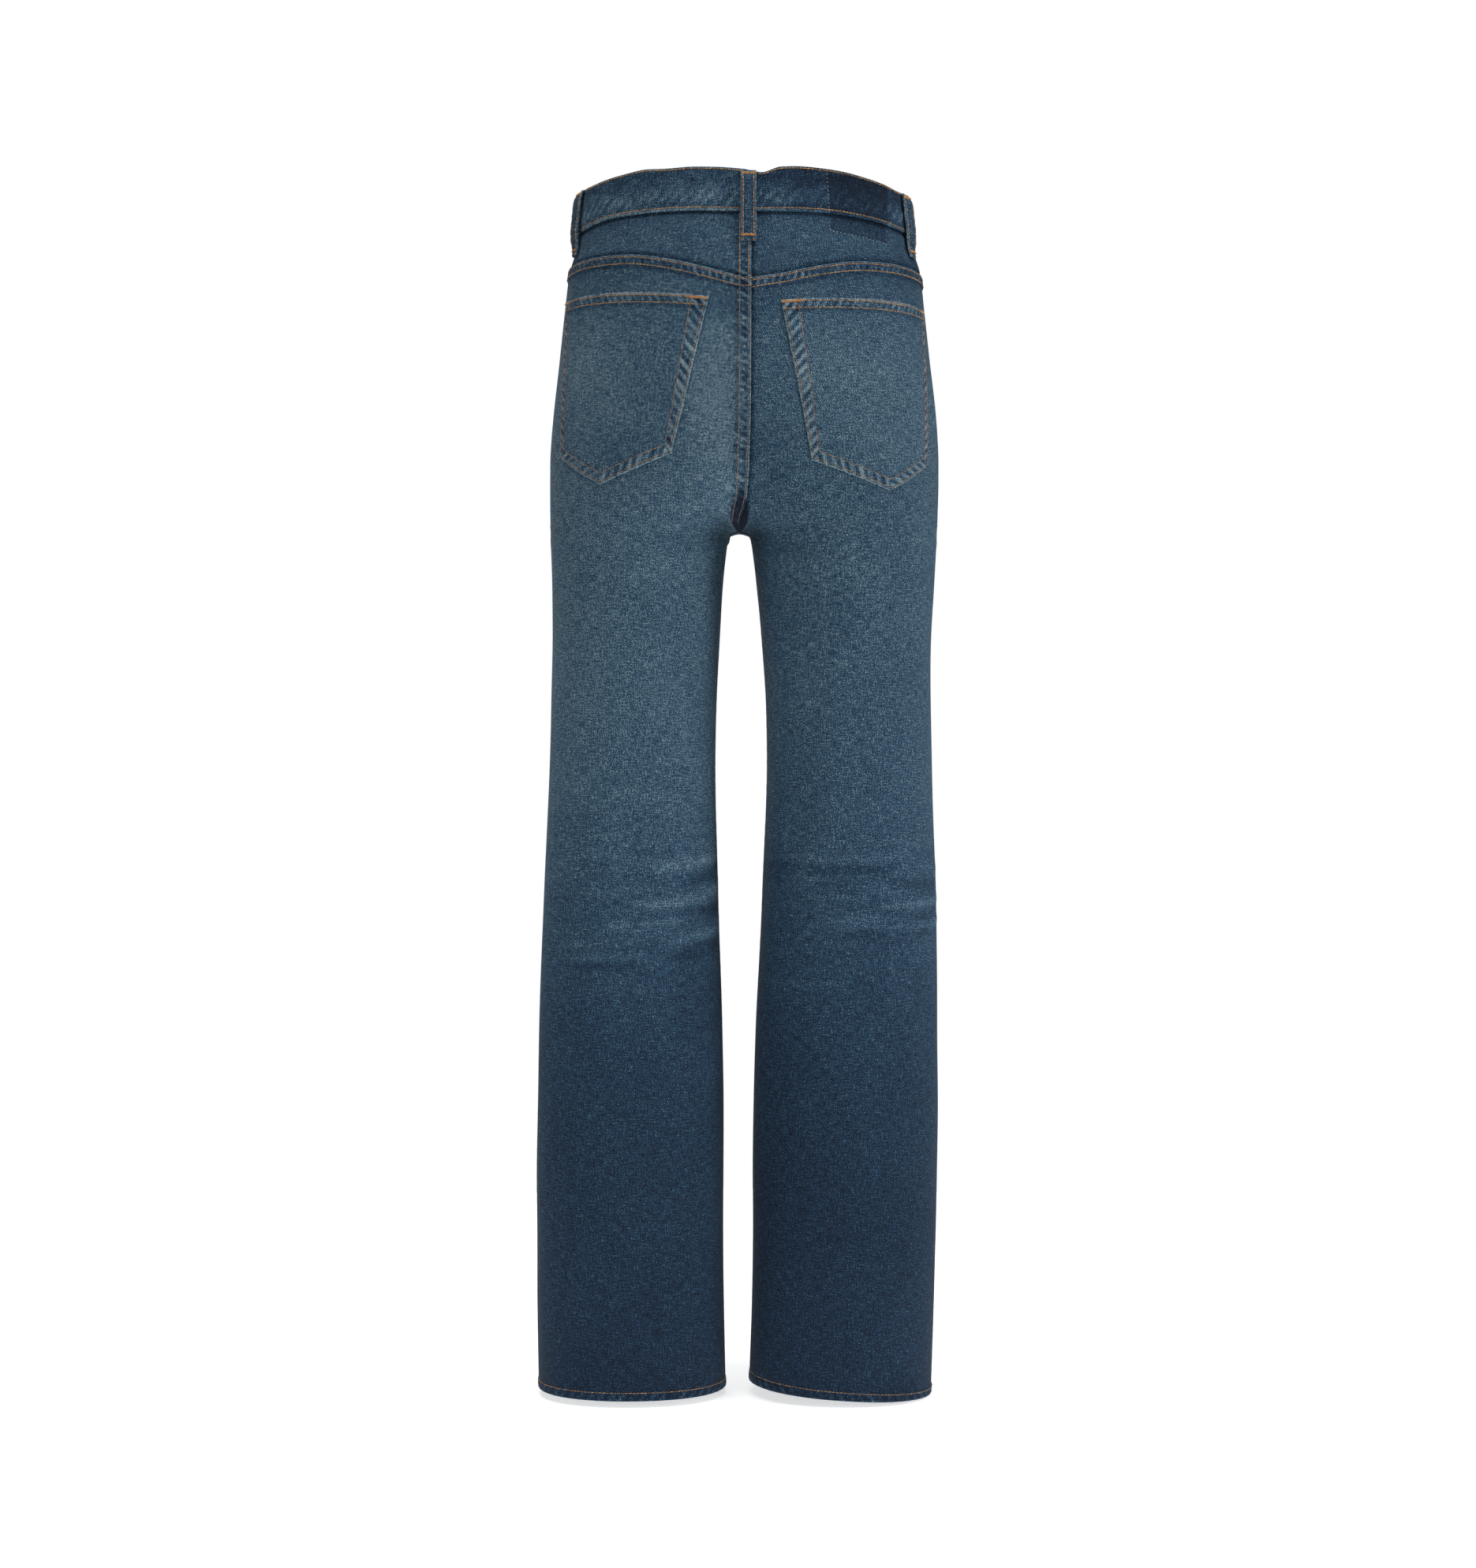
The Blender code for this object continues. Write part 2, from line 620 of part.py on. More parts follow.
def quaternion_from_z(axis):
    """The turn that carries +Z onto axis."""
    half = np.array([0.0, 0.0, 1.0]) + axis
    half /= np.linalg.norm(half)
    return (half[2], -half[1], half[0], 0.0)


def main():
    for old in list(bpy.data.objects):
        bpy.data.objects.remove(old)
    for side, which in ((1, "left"), (-1, "right")):
        back_panel(f"back_{which}", side)
        front_panel(f"front_{which}", side)
        yoke_panel(f"yoke_{which}", side)
        pocket(f"back_pocket_{which}", side)
        pocket_facing(f"pocket_facing_{which}", side)
    waistband()
    for loop in LOOPS:
        belt_loop(*loop)
    waist_button()


main()
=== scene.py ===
# %% [markdown]
# # Straight-leg jeans, seen from behind
#
# The garment is filled out as when worn, with nothing inside. Its panels are thin sheets on one
# form: two leg tubes that run together above the crotch. A place on the form is an arc, measured
# round the section from the back seam, and a height, negative below the waist. All of the sheets,
# seams and stitches are worked out in these two numbers, so they meet however the form bends.
# Sizes in this script are in millimetres until a mesh is made.

# %% Tools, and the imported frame
import math
from functools import partial

import bmesh
import bpy
import numpy as np
from mathutils import Matrix, Vector
from mathutils.bvhtree import BVHTree


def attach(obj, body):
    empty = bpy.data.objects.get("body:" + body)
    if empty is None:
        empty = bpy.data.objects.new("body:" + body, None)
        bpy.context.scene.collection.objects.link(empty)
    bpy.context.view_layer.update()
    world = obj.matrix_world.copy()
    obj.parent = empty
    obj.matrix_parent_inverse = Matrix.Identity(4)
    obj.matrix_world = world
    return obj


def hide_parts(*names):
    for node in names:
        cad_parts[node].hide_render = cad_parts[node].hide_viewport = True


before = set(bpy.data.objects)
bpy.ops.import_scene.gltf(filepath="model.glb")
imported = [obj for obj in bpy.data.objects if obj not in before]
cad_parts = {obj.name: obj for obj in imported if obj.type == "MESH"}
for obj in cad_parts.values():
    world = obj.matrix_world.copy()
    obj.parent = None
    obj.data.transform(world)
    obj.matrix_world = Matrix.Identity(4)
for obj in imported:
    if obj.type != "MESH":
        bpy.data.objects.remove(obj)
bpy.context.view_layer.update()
MM = 0.001
COARSE = 1.0
print("CAD nodes:", sorted(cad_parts))


# %% Colours, nodes, materials and objects
def colour(code):
    """A linear colour from an sRGB hex code."""
    channels = [int(code[i : i + 2], 16) / 255 for i in (1, 3, 5)]
    return (*[c / 12.92 if c <= 0.04045 else ((c + 0.055) / 1.055) ** 2.4 for c in channels], 1.0)


def add(tree, kind, inputs=None, **settings):
    """Adds a node with its settings. A socket among the inputs is linked, and a value is set."""
    node = tree.nodes.new(kind)
    for name, value in settings.items():
        setattr(node, name, value)
    for socket, value in (inputs or {}).items():
        if isinstance(value, bpy.types.NodeSocket):
            tree.links.new(value, node.inputs[socket])
        else:
            node.inputs[socket].default_value = value
    return node


def maths(tree, operation, *values):
    """The result of one step of arithmetic on sockets and numbers."""
    return add(tree, "ShaderNodeMath", dict(enumerate(values)), operation=operation).outputs[0]


def material(name, fill):
    """A material whose shader takes the inputs that fill(tree) gives."""
    made = bpy.data.materials.new(name)
    made.use_nodes = True
    made.node_tree.nodes.clear()
    shader = add(made.node_tree, "ShaderNodeBsdfPrincipled", fill(made.node_tree))
    add(made.node_tree, "ShaderNodeOutputMaterial", {"Surface": shader.outputs[0]})
    return made


def show(name, data):
    """An object in the scene that shows some data."""
    made = bpy.data.objects.new(name, data)
    bpy.context.scene.collection.objects.link(made)
    return made


# %% [markdown]
# ## Camera, floor and light
#
# The photograph looks level at the back of the jeans from about 2.2 m, so the waist's and the hems'
# far edges curve away a little. A plain white studio lights it from wide softboxes at both sides:
# the one at the right is stronger, which leaves the inner face of the right leg in shade.

# %% Camera
DISTANCE, MM_PER_PIXEL, IMAGE_HIGH = 2200.0, 0.68, 1988
AIM_X, AIM_Z = 5.6, -511.0
lens = bpy.data.cameras.new("camera")
lens.sensor_width = 36.0
lens.lens = lens.sensor_width * DISTANCE / (MM_PER_PIXEL * IMAGE_HIGH)
camera = show("camera", lens)
camera.location = Vector((AIM_X, DISTANCE, AIM_Z)) * MM
camera.rotation_euler = (math.radians(90), 0, math.radians(180))
bpy.context.scene.camera = camera
bpy.context.scene.view_settings.view_transform = "Standard"
print(f"lens {lens.lens:.1f} mm at {DISTANCE / 1000} m")

# %% Softboxes, sky and floor
SOFTBOXES = (  # where each is and what it faces, its width and height in metres, and its watts
    ("softbox_right", (-2.35, 1.15, -0.2), (0, 0, -0.5), (0.9, 2.0), 29),
    ("softbox_near_camera", (-1.3, 2.1, -0.1), (0, 0, -0.5), (0.9, 1.6), 5),
    ("softbox_left", (2.2, 1.5, -0.2), (0, 0, -0.5), (1.0, 2.0), 13),
    ("softbox_front", (0.6, -2.4, 0.2), (0, 0, -0.5), (1.6, 1.6), 18),
    ("softbox_top", (0, 0.3, 2.2), (0, 0.1, -1), (2.4, 2.4), 70),
)
for name, spot, aim, size, watts in SOFTBOXES:
    light = bpy.data.lights.new(name, "AREA")
    light.shape, light.size, light.size_y, light.energy = "RECTANGLE", *size, watts
    lamp = show(name, light)
    lamp.location = spot
    lamp.rotation_euler = (Vector(aim) - Vector(spot)).to_track_quat("-Z", "Y").to_euler()

# The camera sees a white background, which lights the cloth only faintly.
SKY, FILL = 1.0, 0.03
world = bpy.data.worlds.new("studio")
world.use_nodes = True
world.node_tree.nodes.clear()
white = {"Color": (1, 1, 1, 1)}
sky = add(world.node_tree, "ShaderNodeBackground", white | {"Strength": SKY}).outputs[0]
fill = add(world.node_tree, "ShaderNodeBackground", white | {"Strength": FILL}).outputs[0]
seen = add(world.node_tree, "ShaderNodeLightPath").outputs["Is Camera Ray"]
either = add(world.node_tree, "ShaderNodeMixShader", {0: seen, 1: fill, 2: sky})
add(world.node_tree, "ShaderNodeOutputWorld", {"Surface": either.outputs[0]})
bpy.context.scene.world = world

# Matt paper, glowing a little as a photographer's lit table does.
FLOOR_HEIGHT, FLOOR_RADIUS = -1034.0, 1.1
paper = {"Base Color": colour("#f7f7f7"), "Roughness": 0.95, "Specular IOR Level": 0.1}
paper |= {"Emission Color": colour("#ffffff"), "Emission Strength": 0.6}
bpy.ops.mesh.primitive_circle_add(vertices=96, radius=FLOOR_RADIUS, fill_type="NGON")
floor = bpy.context.object
floor.name = "studio_floor"
floor.data.transform(Matrix.Translation((0, 0, FLOOR_HEIGHT * MM)) @ floor.matrix_world)
floor.location = (0, 0, 0)
floor.data.materials.append(material("white_studio_paper", lambda tree: paper))
print(len(SOFTBOXES), "softboxes, floor at", FLOOR_HEIGHT, "mm")

# %% [markdown]
# ## The form
#
# These tables are the ones that the CAD panels were made from, so every sheet here lies on its
# solid. A row is a height, and the columns give the leg's outer and inner edges, its front and
# back, the depth at which it is widest, and how square it is. A curve that never overshoots its
# points (monotone cubic) runs down each column. NumPy works on whole grids of points at once.

# %% Tables of the form
CROTCH, LENGTH, BRIDGE = -294.5, 1028.5, 8.0
FORM_COLUMNS = ("height", "outer", "inner", "front", "back", "middle", "square")
FORM = (
    (20, 138, -138, -86, 86, 0, 2.15),
    (0, 140, -140, -88, 88, 0, 2.15),
    (-40, 144, -144, -92, 93, 0, 2.15),
    (-56, 146, -146, -94, 98, 0, 2.15),
    (-72, 150.5, -150.5, -96, 103, 0, 2.2),
    (-110, 155, -155, -100, 112, 1, 2.2),
    (-150, 159.2, -159.2, -103, 119, 2, 2.25),
    (-195, 164.2, -164.2, -104, 124, 3, 2.3),
    (-216, 165.8, -135, -103.8, 123.4, 3.6, 2.3),
    (-236, 166.6, -98, -102.8, 121.5, 4.4, 2.3),
    (-254, 166.6, -62, -101.2, 118.8, 5, 2.3),
    (-268, 166.4, -36, -99.6, 116, 5.4, 2.3),
    (-279, 166.1, -17, -98.2, 113.6, 5.7, 2.3),
    (-287.5, 165.8, -3, -97, 111.6, 5.9, 2.3),
    (CROTCH, 165.6, BRIDGE, -96, 109.9, 6, 2.3),
    (-296.4, 165.5, 11.2, -95.7, 109.4, 6, 2.3),
    (-302, 165.4, 13, -94.9, 108.1, 6, 2.3),
    (-314, 164.9, 14.4, -93.3, 105.6, 5.8, 2.3),
    (-338, 163.9, 16.4, -90.4, 102, 5, 2.3),
    (-393, 162.4, 19.7, -86, 97, 4, 2.3),
    (-447, 163.2, 22.2, -81, 90, 3, 2.3),
    (-501, 164.3, 23.2, -77, 84, 2, 2.3),
    (-610, 168, 20.9, -71, 75, 0, 2.3),
    (-719, 171.4, 17, -66, 69, 0, 2.25),
    (-828, 172.6, 15, -62, 65, 0, 2.2),
    (-937, 171.2, 14.3, -60, 63, 0, 2.2),
    (-1040, 168.6, 13.5, -58.5, 61.5, 0, 2.2),
)
# The garment hangs a little to one side of the waist's middle, at the legs' outer and inner edges.
LEAN_COLUMNS = ("height", "outer", "inner")
LEAN = (
    (20, 0, 0),
    (-195, 0.3, 0.6),
    (-250, 0.6, 2),
    (-295, 1.2, 4.3),
    (-338, 1.5, 4.2),
    (-379, 2.2, 3.5),
    (-474, 2.9, 2.9),
    (-583, 3.8, 3.5),
    (-692, 4.6, 4.3),
    (-801, 5.2, 5.2),
    (-910, 6.5, 5.7),
    (-1040, 8, 6),
)
HEM_TILT, HEM_REACH = {1: 0.0, -1: 4.7}, 90.0  # the right hem rises at its inner edge

# %% Seam lines round the waist
LINE_COLUMNS = ("arc", "left", "right")
WAIST_EDGE = (
    (0, -2, -2),
    (14, -0.6, -4.6),
    (30, 0.3, 0.4),
    (46, 0.8, 1.2),
    (66, 0.2, 0.4),
    (84, 1, -1),
    (104, -0.9, -3.8),
    (124, -2.8, -6.6),
    (144, -4.6, -9.4),
    (176, -5, -9),
    (220, -6, -8),
    (300, -9, -9),
    (380, -11, -11),
)
WAIST_SEAM = (
    (0, -38.5, -38.5),
    (60, -36.8, -37.8),
    (110, -37.6, -41),
    (150, -41.6, -44.6),
    (210, -43, -45),
    (300, -46.5, -47),
    (380, -49, -49),
)
YOKE_SEAM = (
    (0, -96, -97),
    (29, -87.5, -92),
    (63, -78.5, -84),
    (101, -72, -77.8),
    (148, -70, -76.2),
    (215, -70.5, -76.5),
    (260, -72, -77),
)


# %% Reading the tables
def along(table, names, name, at):
    """A smooth curve through one column of a table, which never overshoots it."""
    x = np.array([row[0] for row in table])
    y = np.array([row[names.index(name)] for row in table])
    if x[0] > x[-1]:
        x, y = x[::-1], y[::-1]
    step = np.diff(x)
    slope = np.diff(y) / step
    tangent = np.concatenate([[slope[0]], np.zeros(len(x) - 2), [slope[-1]]])
    same = slope[:-1] * slope[1:] > 0
    w1, w2 = 2 * step[1:] + step[:-1], step[1:] + 2 * step[:-1]
    before, after = (np.where(same, part, 1) for part in (slope[:-1], slope[1:]))
    tangent[1:-1][same] = ((w1 + w2) / (w1 / before + w2 / after))[same]
    at = np.clip(at, x[0], x[-1])
    i = np.clip(np.searchsorted(x, at) - 1, 0, len(step) - 1)
    u = (at - x[i]) / step[i]
    rise = (1 + 2 * u) * (1 - u) ** 2 * y[i] + u * (1 - u) ** 2 * step[i] * tangent[i]
    return rise + u**2 * (3 - 2 * u) * y[i + 1] + u**2 * (u - 1) * step[i] * tangent[i + 1]


def tube(name, height):
    return along(FORM, FORM_COLUMNS, name, height)


def line(table, side, arc):
    """The height of a seam line at an arc, on the wearer's left (side 1) or right (side -1)."""
    arc = np.abs(arc)
    left, right = (along(table, LINE_COLUMNS, name, arc) for name in ("left", "right"))
    return np.where(np.asarray(side) > 0, left, right)


def ease(value):
    """0 to 1 as value goes from 0 to 1, with level ends."""
    value = np.clip(value, 0.0, 1.0)
    return value * value * (3 - 2 * value)


def bell(value):
    return np.exp(-(value**2))


# %% The rings, and a place on the form
RING_POINTS = 200
SHARES = np.linspace(0, 1, 401)
near_crotch = CROTCH + np.geomspace(0.01, 9, 40)
ring_heights = np.unique(np.concatenate([np.arange(-1041, 21, 1.0), [CROTCH], near_crotch]))


def half_ring(height):
    """Half a section, from the back seam round the outside to the front seam, at even shares."""
    outer, inner, middle = (float(tube(name, height)) for name in ("outer", "inner", "middle"))
    square = float(tube("square", height))
    centre, half = (outer + inner) / 2, (outer - inner) / 2
    cosine = max((BRIDGE - centre) / half, -1.0)
    last = math.acos(math.copysign(abs(cosine) ** (square / 2), cosine))
    turn = last * np.sin(np.linspace(math.pi / 2, 0, RING_POINTS))
    soft = centre + half * np.sign(np.cos(turn)) * np.abs(np.cos(turn)) ** (2 / square)
    x = np.sqrt(np.maximum(soft * soft - BRIDGE**2, 0))
    rise = np.abs(np.sin(turn)) ** (2 / square)
    back = middle + (float(tube("back", height)) - middle) * rise
    front = middle + (float(tube("front", height)) - middle) * rise
    xs, ys = np.concatenate([x, x[-2::-1]]), np.concatenate([back, front[-2::-1]])
    arcs = np.concatenate([[0], np.cumsum(np.hypot(np.diff(xs), np.diff(ys)))])
    whole = arcs[-1]
    even = SHARES * whole
    return np.interp(even, arcs, xs), np.interp(even, arcs, ys), whole, arcs[RING_POINTS - 1]


ring_x, ring_y, ring_whole, ring_side = map(np.array, zip(*map(half_ring, ring_heights)))
OUTSEAM_FORWARD = 10.0  # the outseams lie this far in front of the widest line


def full_arc(height):
    return np.interp(height, ring_heights, ring_whole)


def outseam(height):
    return np.interp(height, ring_heights, ring_side) + OUTSEAM_FORWARD


def level(x, y, height):
    """1 on the form, more outside it and less inside."""
    outer, inner, middle = (tube(name, height) for name in ("outer", "inner", "middle"))
    depth = np.where(y > middle, tube("back", height) - middle, middle - tube("front", height))
    across = np.abs(np.hypot(x, BRIDGE) - (outer + inner) / 2) / ((outer - inner) / 2)
    square = tube("square", height)
    return (across**square + np.abs((y - middle) / depth) ** square) ** (1 / square)


def outward(x, y, height):
    """The form's unit normals."""
    near, tall = 0.02, 0.4
    gradient = np.stack(
        [
            (level(x + near, y, height) - level(x - near, y, height)) / (2 * near),
            (level(x, y + near, height) - level(x, y - near, height)) / (2 * near),
            (level(x, y, height + tall) - level(x, y, height - tall)) / (2 * tall),
        ],
        -1,
    )
    return gradient / np.linalg.norm(gradient, axis=-1, keepdims=True)


def own_side(side, arc, height):
    """The side and arc of a spot that may be past the back or front seam."""
    whole, high = full_arc(height), height > CROTCH
    past = high & ((arc < 0) | (arc > whole))
    folded = np.where(arc < 0, -arc, np.where(arc > whole, 2 * whole - arc, arc))
    return np.where(past, -side, side), np.where(high, folded, arc % whole)


def place(side, arc, height, lift=0.0, with_normals=False):
    """Points of the form at arcs and heights, moved out by lift. Arcs past a seam go on round."""
    given = (np.asarray(v, float) for v in (side, arc, height, lift))
    side, arc, height, lift = np.broadcast_arrays(*given)
    sign, arc = own_side(side, arc, height)
    share = arc / full_arc(height) * (len(SHARES) - 1)
    j = np.clip(share.astype(int), 0, len(SHARES) - 2)
    i = np.clip(np.searchsorted(ring_heights, height) - 1, 0, len(ring_heights) - 2)
    f, g = (height - ring_heights[i]) / (ring_heights[i + 1] - ring_heights[i]), share - j
    x, y = (
        (t[i, j] * (1 - g) + t[i, j + 1] * g) * (1 - f) + (t[i + 1, j] * (1 - g) + t[i + 1, j + 1] * g) * f
        for t in (ring_x, ring_y)
    )
    normal = outward(x, y, height)
    x, y, z = (value + lift * normal[..., axis] for axis, value in enumerate((x, y, height)))
    inner, outer = np.maximum(tube("inner", height), 0), tube("outer", height)
    share = ease((x - inner) / (outer - inner))
    leans = [along(LEAN, LEAN_COLUMNS, name, height) for name in ("inner", "outer")]
    lean = leans[0] + (leans[1] - leans[0]) * share
    tilt = np.where(sign > 0, HEM_TILT[1], HEM_TILT[-1]) * (2 * (x - inner) / (outer - inner) - 1)
    point = np.stack([sign * x + lean, y, z - tilt * ease(1 + (-LENGTH - height) / HEM_REACH)], -1)
    if with_normals:
        return point, np.stack([sign * normal[..., 0], normal[..., 1], normal[..., 2]], -1)
    return point


print(f"{len(ring_heights)} rings; waist {2 * full_arc(0):.0f} mm round, hem {full_arc(-LENGTH):.0f} mm")

# %% [markdown]
# ## How the cloth hangs, and how it is worn
#
# Denim that has been worn keeps soft creases behind the knees, where its ridges rub pale and its
# troughs stay dark. They are listed in one table, and each row moves the cloth and changes its
# fade together. Broad, slow noise adds the unevenness of a body that isn't there.


# %% Noise
def cloud(points, size, seed):
    """Smooth noise from -1 to 1 over points, with lumps of a size in mm."""
    lattice = np.random.default_rng(seed).uniform(-1, 1, (32, 32, 32))
    spot = np.asarray(points) / size
    low = np.floor(spot).astype(int)
    t = ease(spot - low)
    total = 0.0
    for corner in np.ndindex(2, 2, 2):
        weight = np.prod([t[..., k] if corner[k] else 1 - t[..., k] for k in range(3)], axis=0)
        cell = [(low[..., k] + corner[k]) % 32 for k in range(3)]
        total = total + weight * lattice[tuple(cell)]
    return total


def rope(run, pitch, seed):
    """Uneven waves from -1 to 1 along a line, about pitch apart: the puckers beside a seam."""
    knots = np.random.default_rng(seed).uniform(-1, 1, 1024)
    knots[::2] = np.abs(knots[::2]) * 0.75 + 0.25
    knots[1::2] = -np.abs(knots[1::2]) * 0.75 - 0.25
    spot = run / (pitch / 2) + 200
    low = np.floor(spot).astype(int)
    t = ease(spot - low)
    return knots[low % 1024] * (1 - t) + knots[(low + 1) % 1024] * t


# %% Creases, and the map of wear and painted light
# A crease runs reach to either side of its middle, turned from the level by an angle (positive
# rises away from the centre back), curved by bend, and is width wide to half its depth. A positive
# depth is a ridge. pale adds to the fade on it.
CREASE_COLUMNS = ("side", "arc", "height", "angle", "reach", "bend", "width", "depth", "pale")
CREASES = (
    # behind the left knee, rising to the inner edge
    (1, 60, -577, -7, 52, 2, 5, 1.3, 0.13),
    (1, 40, -588, -12, 46, 1, 5.5, -1.6, -0.13),
    (1, 62, -607.5, -8, 64, 4, 4.5, 1.4, 0.15),
    (1, 36, -617.5, -8, 44, 2, 5, -1.7, -0.15),
    (1, 92, -627, -6, 62, 4, 4, 1.1, 0.12),
    (1, 50, -638.5, -10, 50, 2, 4.2, 1.3, 0.13),
    (1, 44, -650, -11, 46, 1.5, 6, -1.5, -0.13),
    (1, 138, -643.5, -4, 42, 1, 3.5, 0.8, 0.09),
    (1, 136, -656, -3, 48, 1, 3.5, 0.9, 0.10),
    (1, 142, -663, -2, 44, 1, 4.5, -0.9, -0.09),
    (1, 108, -521, 6, 40, 1, 4, 0.6, 0.06),
    # behind the right knee, deepest at its outer edge
    (-1, 188, -562.5, 3, 40, 1, 5, 0.7, 0.07),
    (-1, 112, -572, 0, 60, -1, 4, 0.8, 0.08),
    (-1, 190, -583.5, 1, 48, 1, 4.5, 0.8, 0.08),
    (-1, 120, -582, 1, 50, 1, 3.6, -0.9, -0.10),
    (-1, 182, -595, -6, 46, 1, 5, -0.9, -0.09),
    (-1, 190, -611.5, 3, 48, 2, 4.5, 0.9, 0.11),
    (-1, 186, -620.5, 3, 48, 2, 4, -1, -0.11),
    (-1, 140, -624, 2, 48, 1, 3.6, 0.9, 0.12),
    (-1, 184, -632, 6, 54, 3, 4, 1.1, 0.12),
    (-1, 156, -636, 3, 50, 1, 4.5, -1.2, -0.10),
    (-1, 80, -678, 2, 46, 1, 4, 0.8, 0.08),
    (-1, 45, -583, 0, 34, 0, 12, -0.8, -0.07),
    # under the seat and on the thighs, long and faint
    (1, 70, -306, -14, 70, 5, 9, -1, -0.04),
    (-1, 66, -308, -13, 66, 5, 9, -1, -0.04),
    (1, 120, -330, -10, 60, 4, 9, 0.7, 0.03),
    (-1, 120, -334, -9, 60, 4, 9, 0.7, 0.03),
    # in front: whiskers from the fly, and over the knees
    (1, 420, -214, -20, 46, -5, 5, 1.3, 0.14),
    (1, 424, -236, -28, 44, -5, 5.5, 1.4, 0.14),
    (1, 428, -225, -24, 42, -4, 5, -1.2, -0.10),
    (-1, 418, -217, -19, 44, -5, 5, 1.3, 0.14),
    (-1, 426, -240, -27, 44, -5, 5.5, 1.4, 0.14),
    (-1, 426, -228, -23, 42, -4, 5, -1.2, -0.10),
    (1, 360, -572, 5, 58, 3, 5, 1, 0.11),
    (1, 366, -598, 3, 66, 2, 6, -1.3, -0.09),
    (1, 352, -622, -4, 54, 2, 5, 1.1, 0.11),
    (-1, 356, -566, -4, 60, 3, 5, 1, 0.11),
    (-1, 362, -590, 2, 62, 2, 6, -1.3, -0.09),
    (-1, 358, -618, 4, 58, 2, 5, 1.1, 0.11),
)
# Fade at each height, from 0 (raw indigo) to 1 (palest), on the left and right.
FADE_COLUMNS = ("height", "left", "right")
FADES = (
    (20, 0.47, 0.45),
    (-45, 0.50, 0.49),
    (-80, 0.51, 0.46),
    (-110, 0.57, 0.53),
    (-200, 0.61, 0.57),
    (-360, 0.59, 0.55),
    (-480, 0.57, 0.53),
    (-560, 0.52, 0.48),
    (-640, 0.43, 0.41),
    (-700, 0.34, 0.33),
    (-780, 0.26, 0.26),
    (-900, 0.20, 0.18),
    (-1040, 0.13, 0.17),
)
# Soft patches of more or less wear: middle, half-sizes round and up, and amount. The pale one at the
# left leg's inner edge is painted light, not wear.
PATCH_COLUMNS = ("side", "arc", "height", "round", "up", "pale")
PATCHES = (
    (1, 26, -185, 24, 70, 0.10),
    (1, 20, -118, 26, 16, -0.10),
    (-1, 16, -118, 22, 16, -0.08),
    (-1, 30, -240, 26, 60, -0.04),
    (1, 32, -680, 36, 40, -0.07),
    (-1, 30, -640, 34, 90, -0.05),
    (-1, 45, -860, 60, 190, -0.07),
    (1, 140, -165, 60, 50, 0.10),
    # painted light: the left leg's inner edge, lit from the right between the legs
    (1, 6, -420, 24, 150, 0.14),
    (1, 180, -400, 46, 140, 0.04),
    (-1, 175, -62, 45, 26, -0.13),
    (-1, 165, -136, 50, 30, -0.05),
    (-1, 110, -175, 60, 46, 0.05),
    (1, 330, -420, 70, 150, 0.10),
    (-1, 330, -420, 70, 150, 0.10),
)
# Where a patch has been taken off the waistband and the yoke: its corners as (arc, height), and how
# much darker the cloth is there. Over the crotch, where the seat turns under between the legs, a
# little facet of painted shade darkens the cloth.
UNFADED_BY, CROTCH_PAINTED_SHADE = 0.19, 0.55
UNFADED = ((69, -4.5), (129, -7.5), (126.8, -59), (71.8, -52.5))


def crease_map(side, arc, height):
    """How far the creases move the cloth out, and how much paler they are."""
    lift, pale = 0.0, 0.0
    for row in CREASES:
        c = dict(zip(CREASE_COLUMNS, row))
        turn = math.radians(c["angle"])
        east, north = arc - c["arc"], height - c["height"]
        forth = (east * math.cos(turn) + north * math.sin(turn)) / c["reach"]
        off = north * math.cos(turn) - east * math.sin(turn) - c["bend"] * forth**2
        shape = bell(off / c["width"]) * ease((1 - np.abs(forth)) * 2.2) * (side == c["side"])
        lift, pale = lift + c["depth"] * shape, pale + c["pale"] * shape
    return lift, pale


def drape(side, arc, height):
    """How far the cloth stands off the form."""
    points = place(side, arc, height)
    side, arc = own_side(side, arc, height)
    below_waist = ease((-20 - height) / 40)
    broad = cloud(points, (80, 80, 150), 5) * 0.9 + cloud(points, (34, 34, 60), 6) * 0.35
    return broad * (0.35 + 0.65 * below_waist) + crease_map(side, arc, height)[0]


def wear_and_painted_light(side, arc, height):
    """The fade of the cloth before its seams are added: its wear, with painted shade over the crotch and
    painted light at the left leg's inner edge.
    """
    points = place(side, arc, height)
    side, arc = own_side(side, arc, height)
    left, right = (along(FADES, FADE_COLUMNS, name, height) for name in ("left", "right"))
    fade = np.where(side > 0, left, right)
    for row in PATCHES:
        p = dict(zip(PATCH_COLUMNS, row))
        spot = bell((arc - p["arc"]) / p["round"]) * bell((height - p["height"]) / p["up"])
        fade = fade + p["pale"] * spot * (side == p["side"])
    fade = fade + 0.028 * cloud(points, (26, 26, 34), 7) + 0.018 * cloud(points, (9, 9, 9), 8)
    knee = bell((height + 605) / 62)
    fade = fade + 0.07 * knee * cloud(points, (40, 40, 3.2), 9)
    # painted shade: a dark facet over the crotch, where the seat turns under between the legs
    painted_crotch_shade = ease((4 + 7 * ease((-268 - height) / 22) - arc) / 3)
    painted_crotch_shade = painted_crotch_shade * ease((-264 - height) / 8) * ease((height + 303) / 5)
    inside, soft = 1.0, 1.4
    for (a, b), (c, d) in zip(UNFADED, UNFADED[1:] + UNFADED[:1]):
        within = ((d - b) * (arc - a) - (c - a) * (height - b)) / math.hypot(c - a, d - b)
        inside = inside * ease(within / soft + 0.5)
    return fade - CROTCH_PAINTED_SHADE * painted_crotch_shade + crease_map(side, arc, height)[1] - UNFADED_BY * inside * (side < 0)


# %% [markdown]
# ## Seams
#
# Each seam is a line of (arc, height) points. A sheet's points near it are raised, tucked or
# puckered by how far from the line they are and how far along it, and a fold's edge rubs pale.
# Jeans are mostly sewn with lapped seams: one side is folded over the other and stitched down
# twice, and washing shrinks the thread, which ropes the band between the rows.

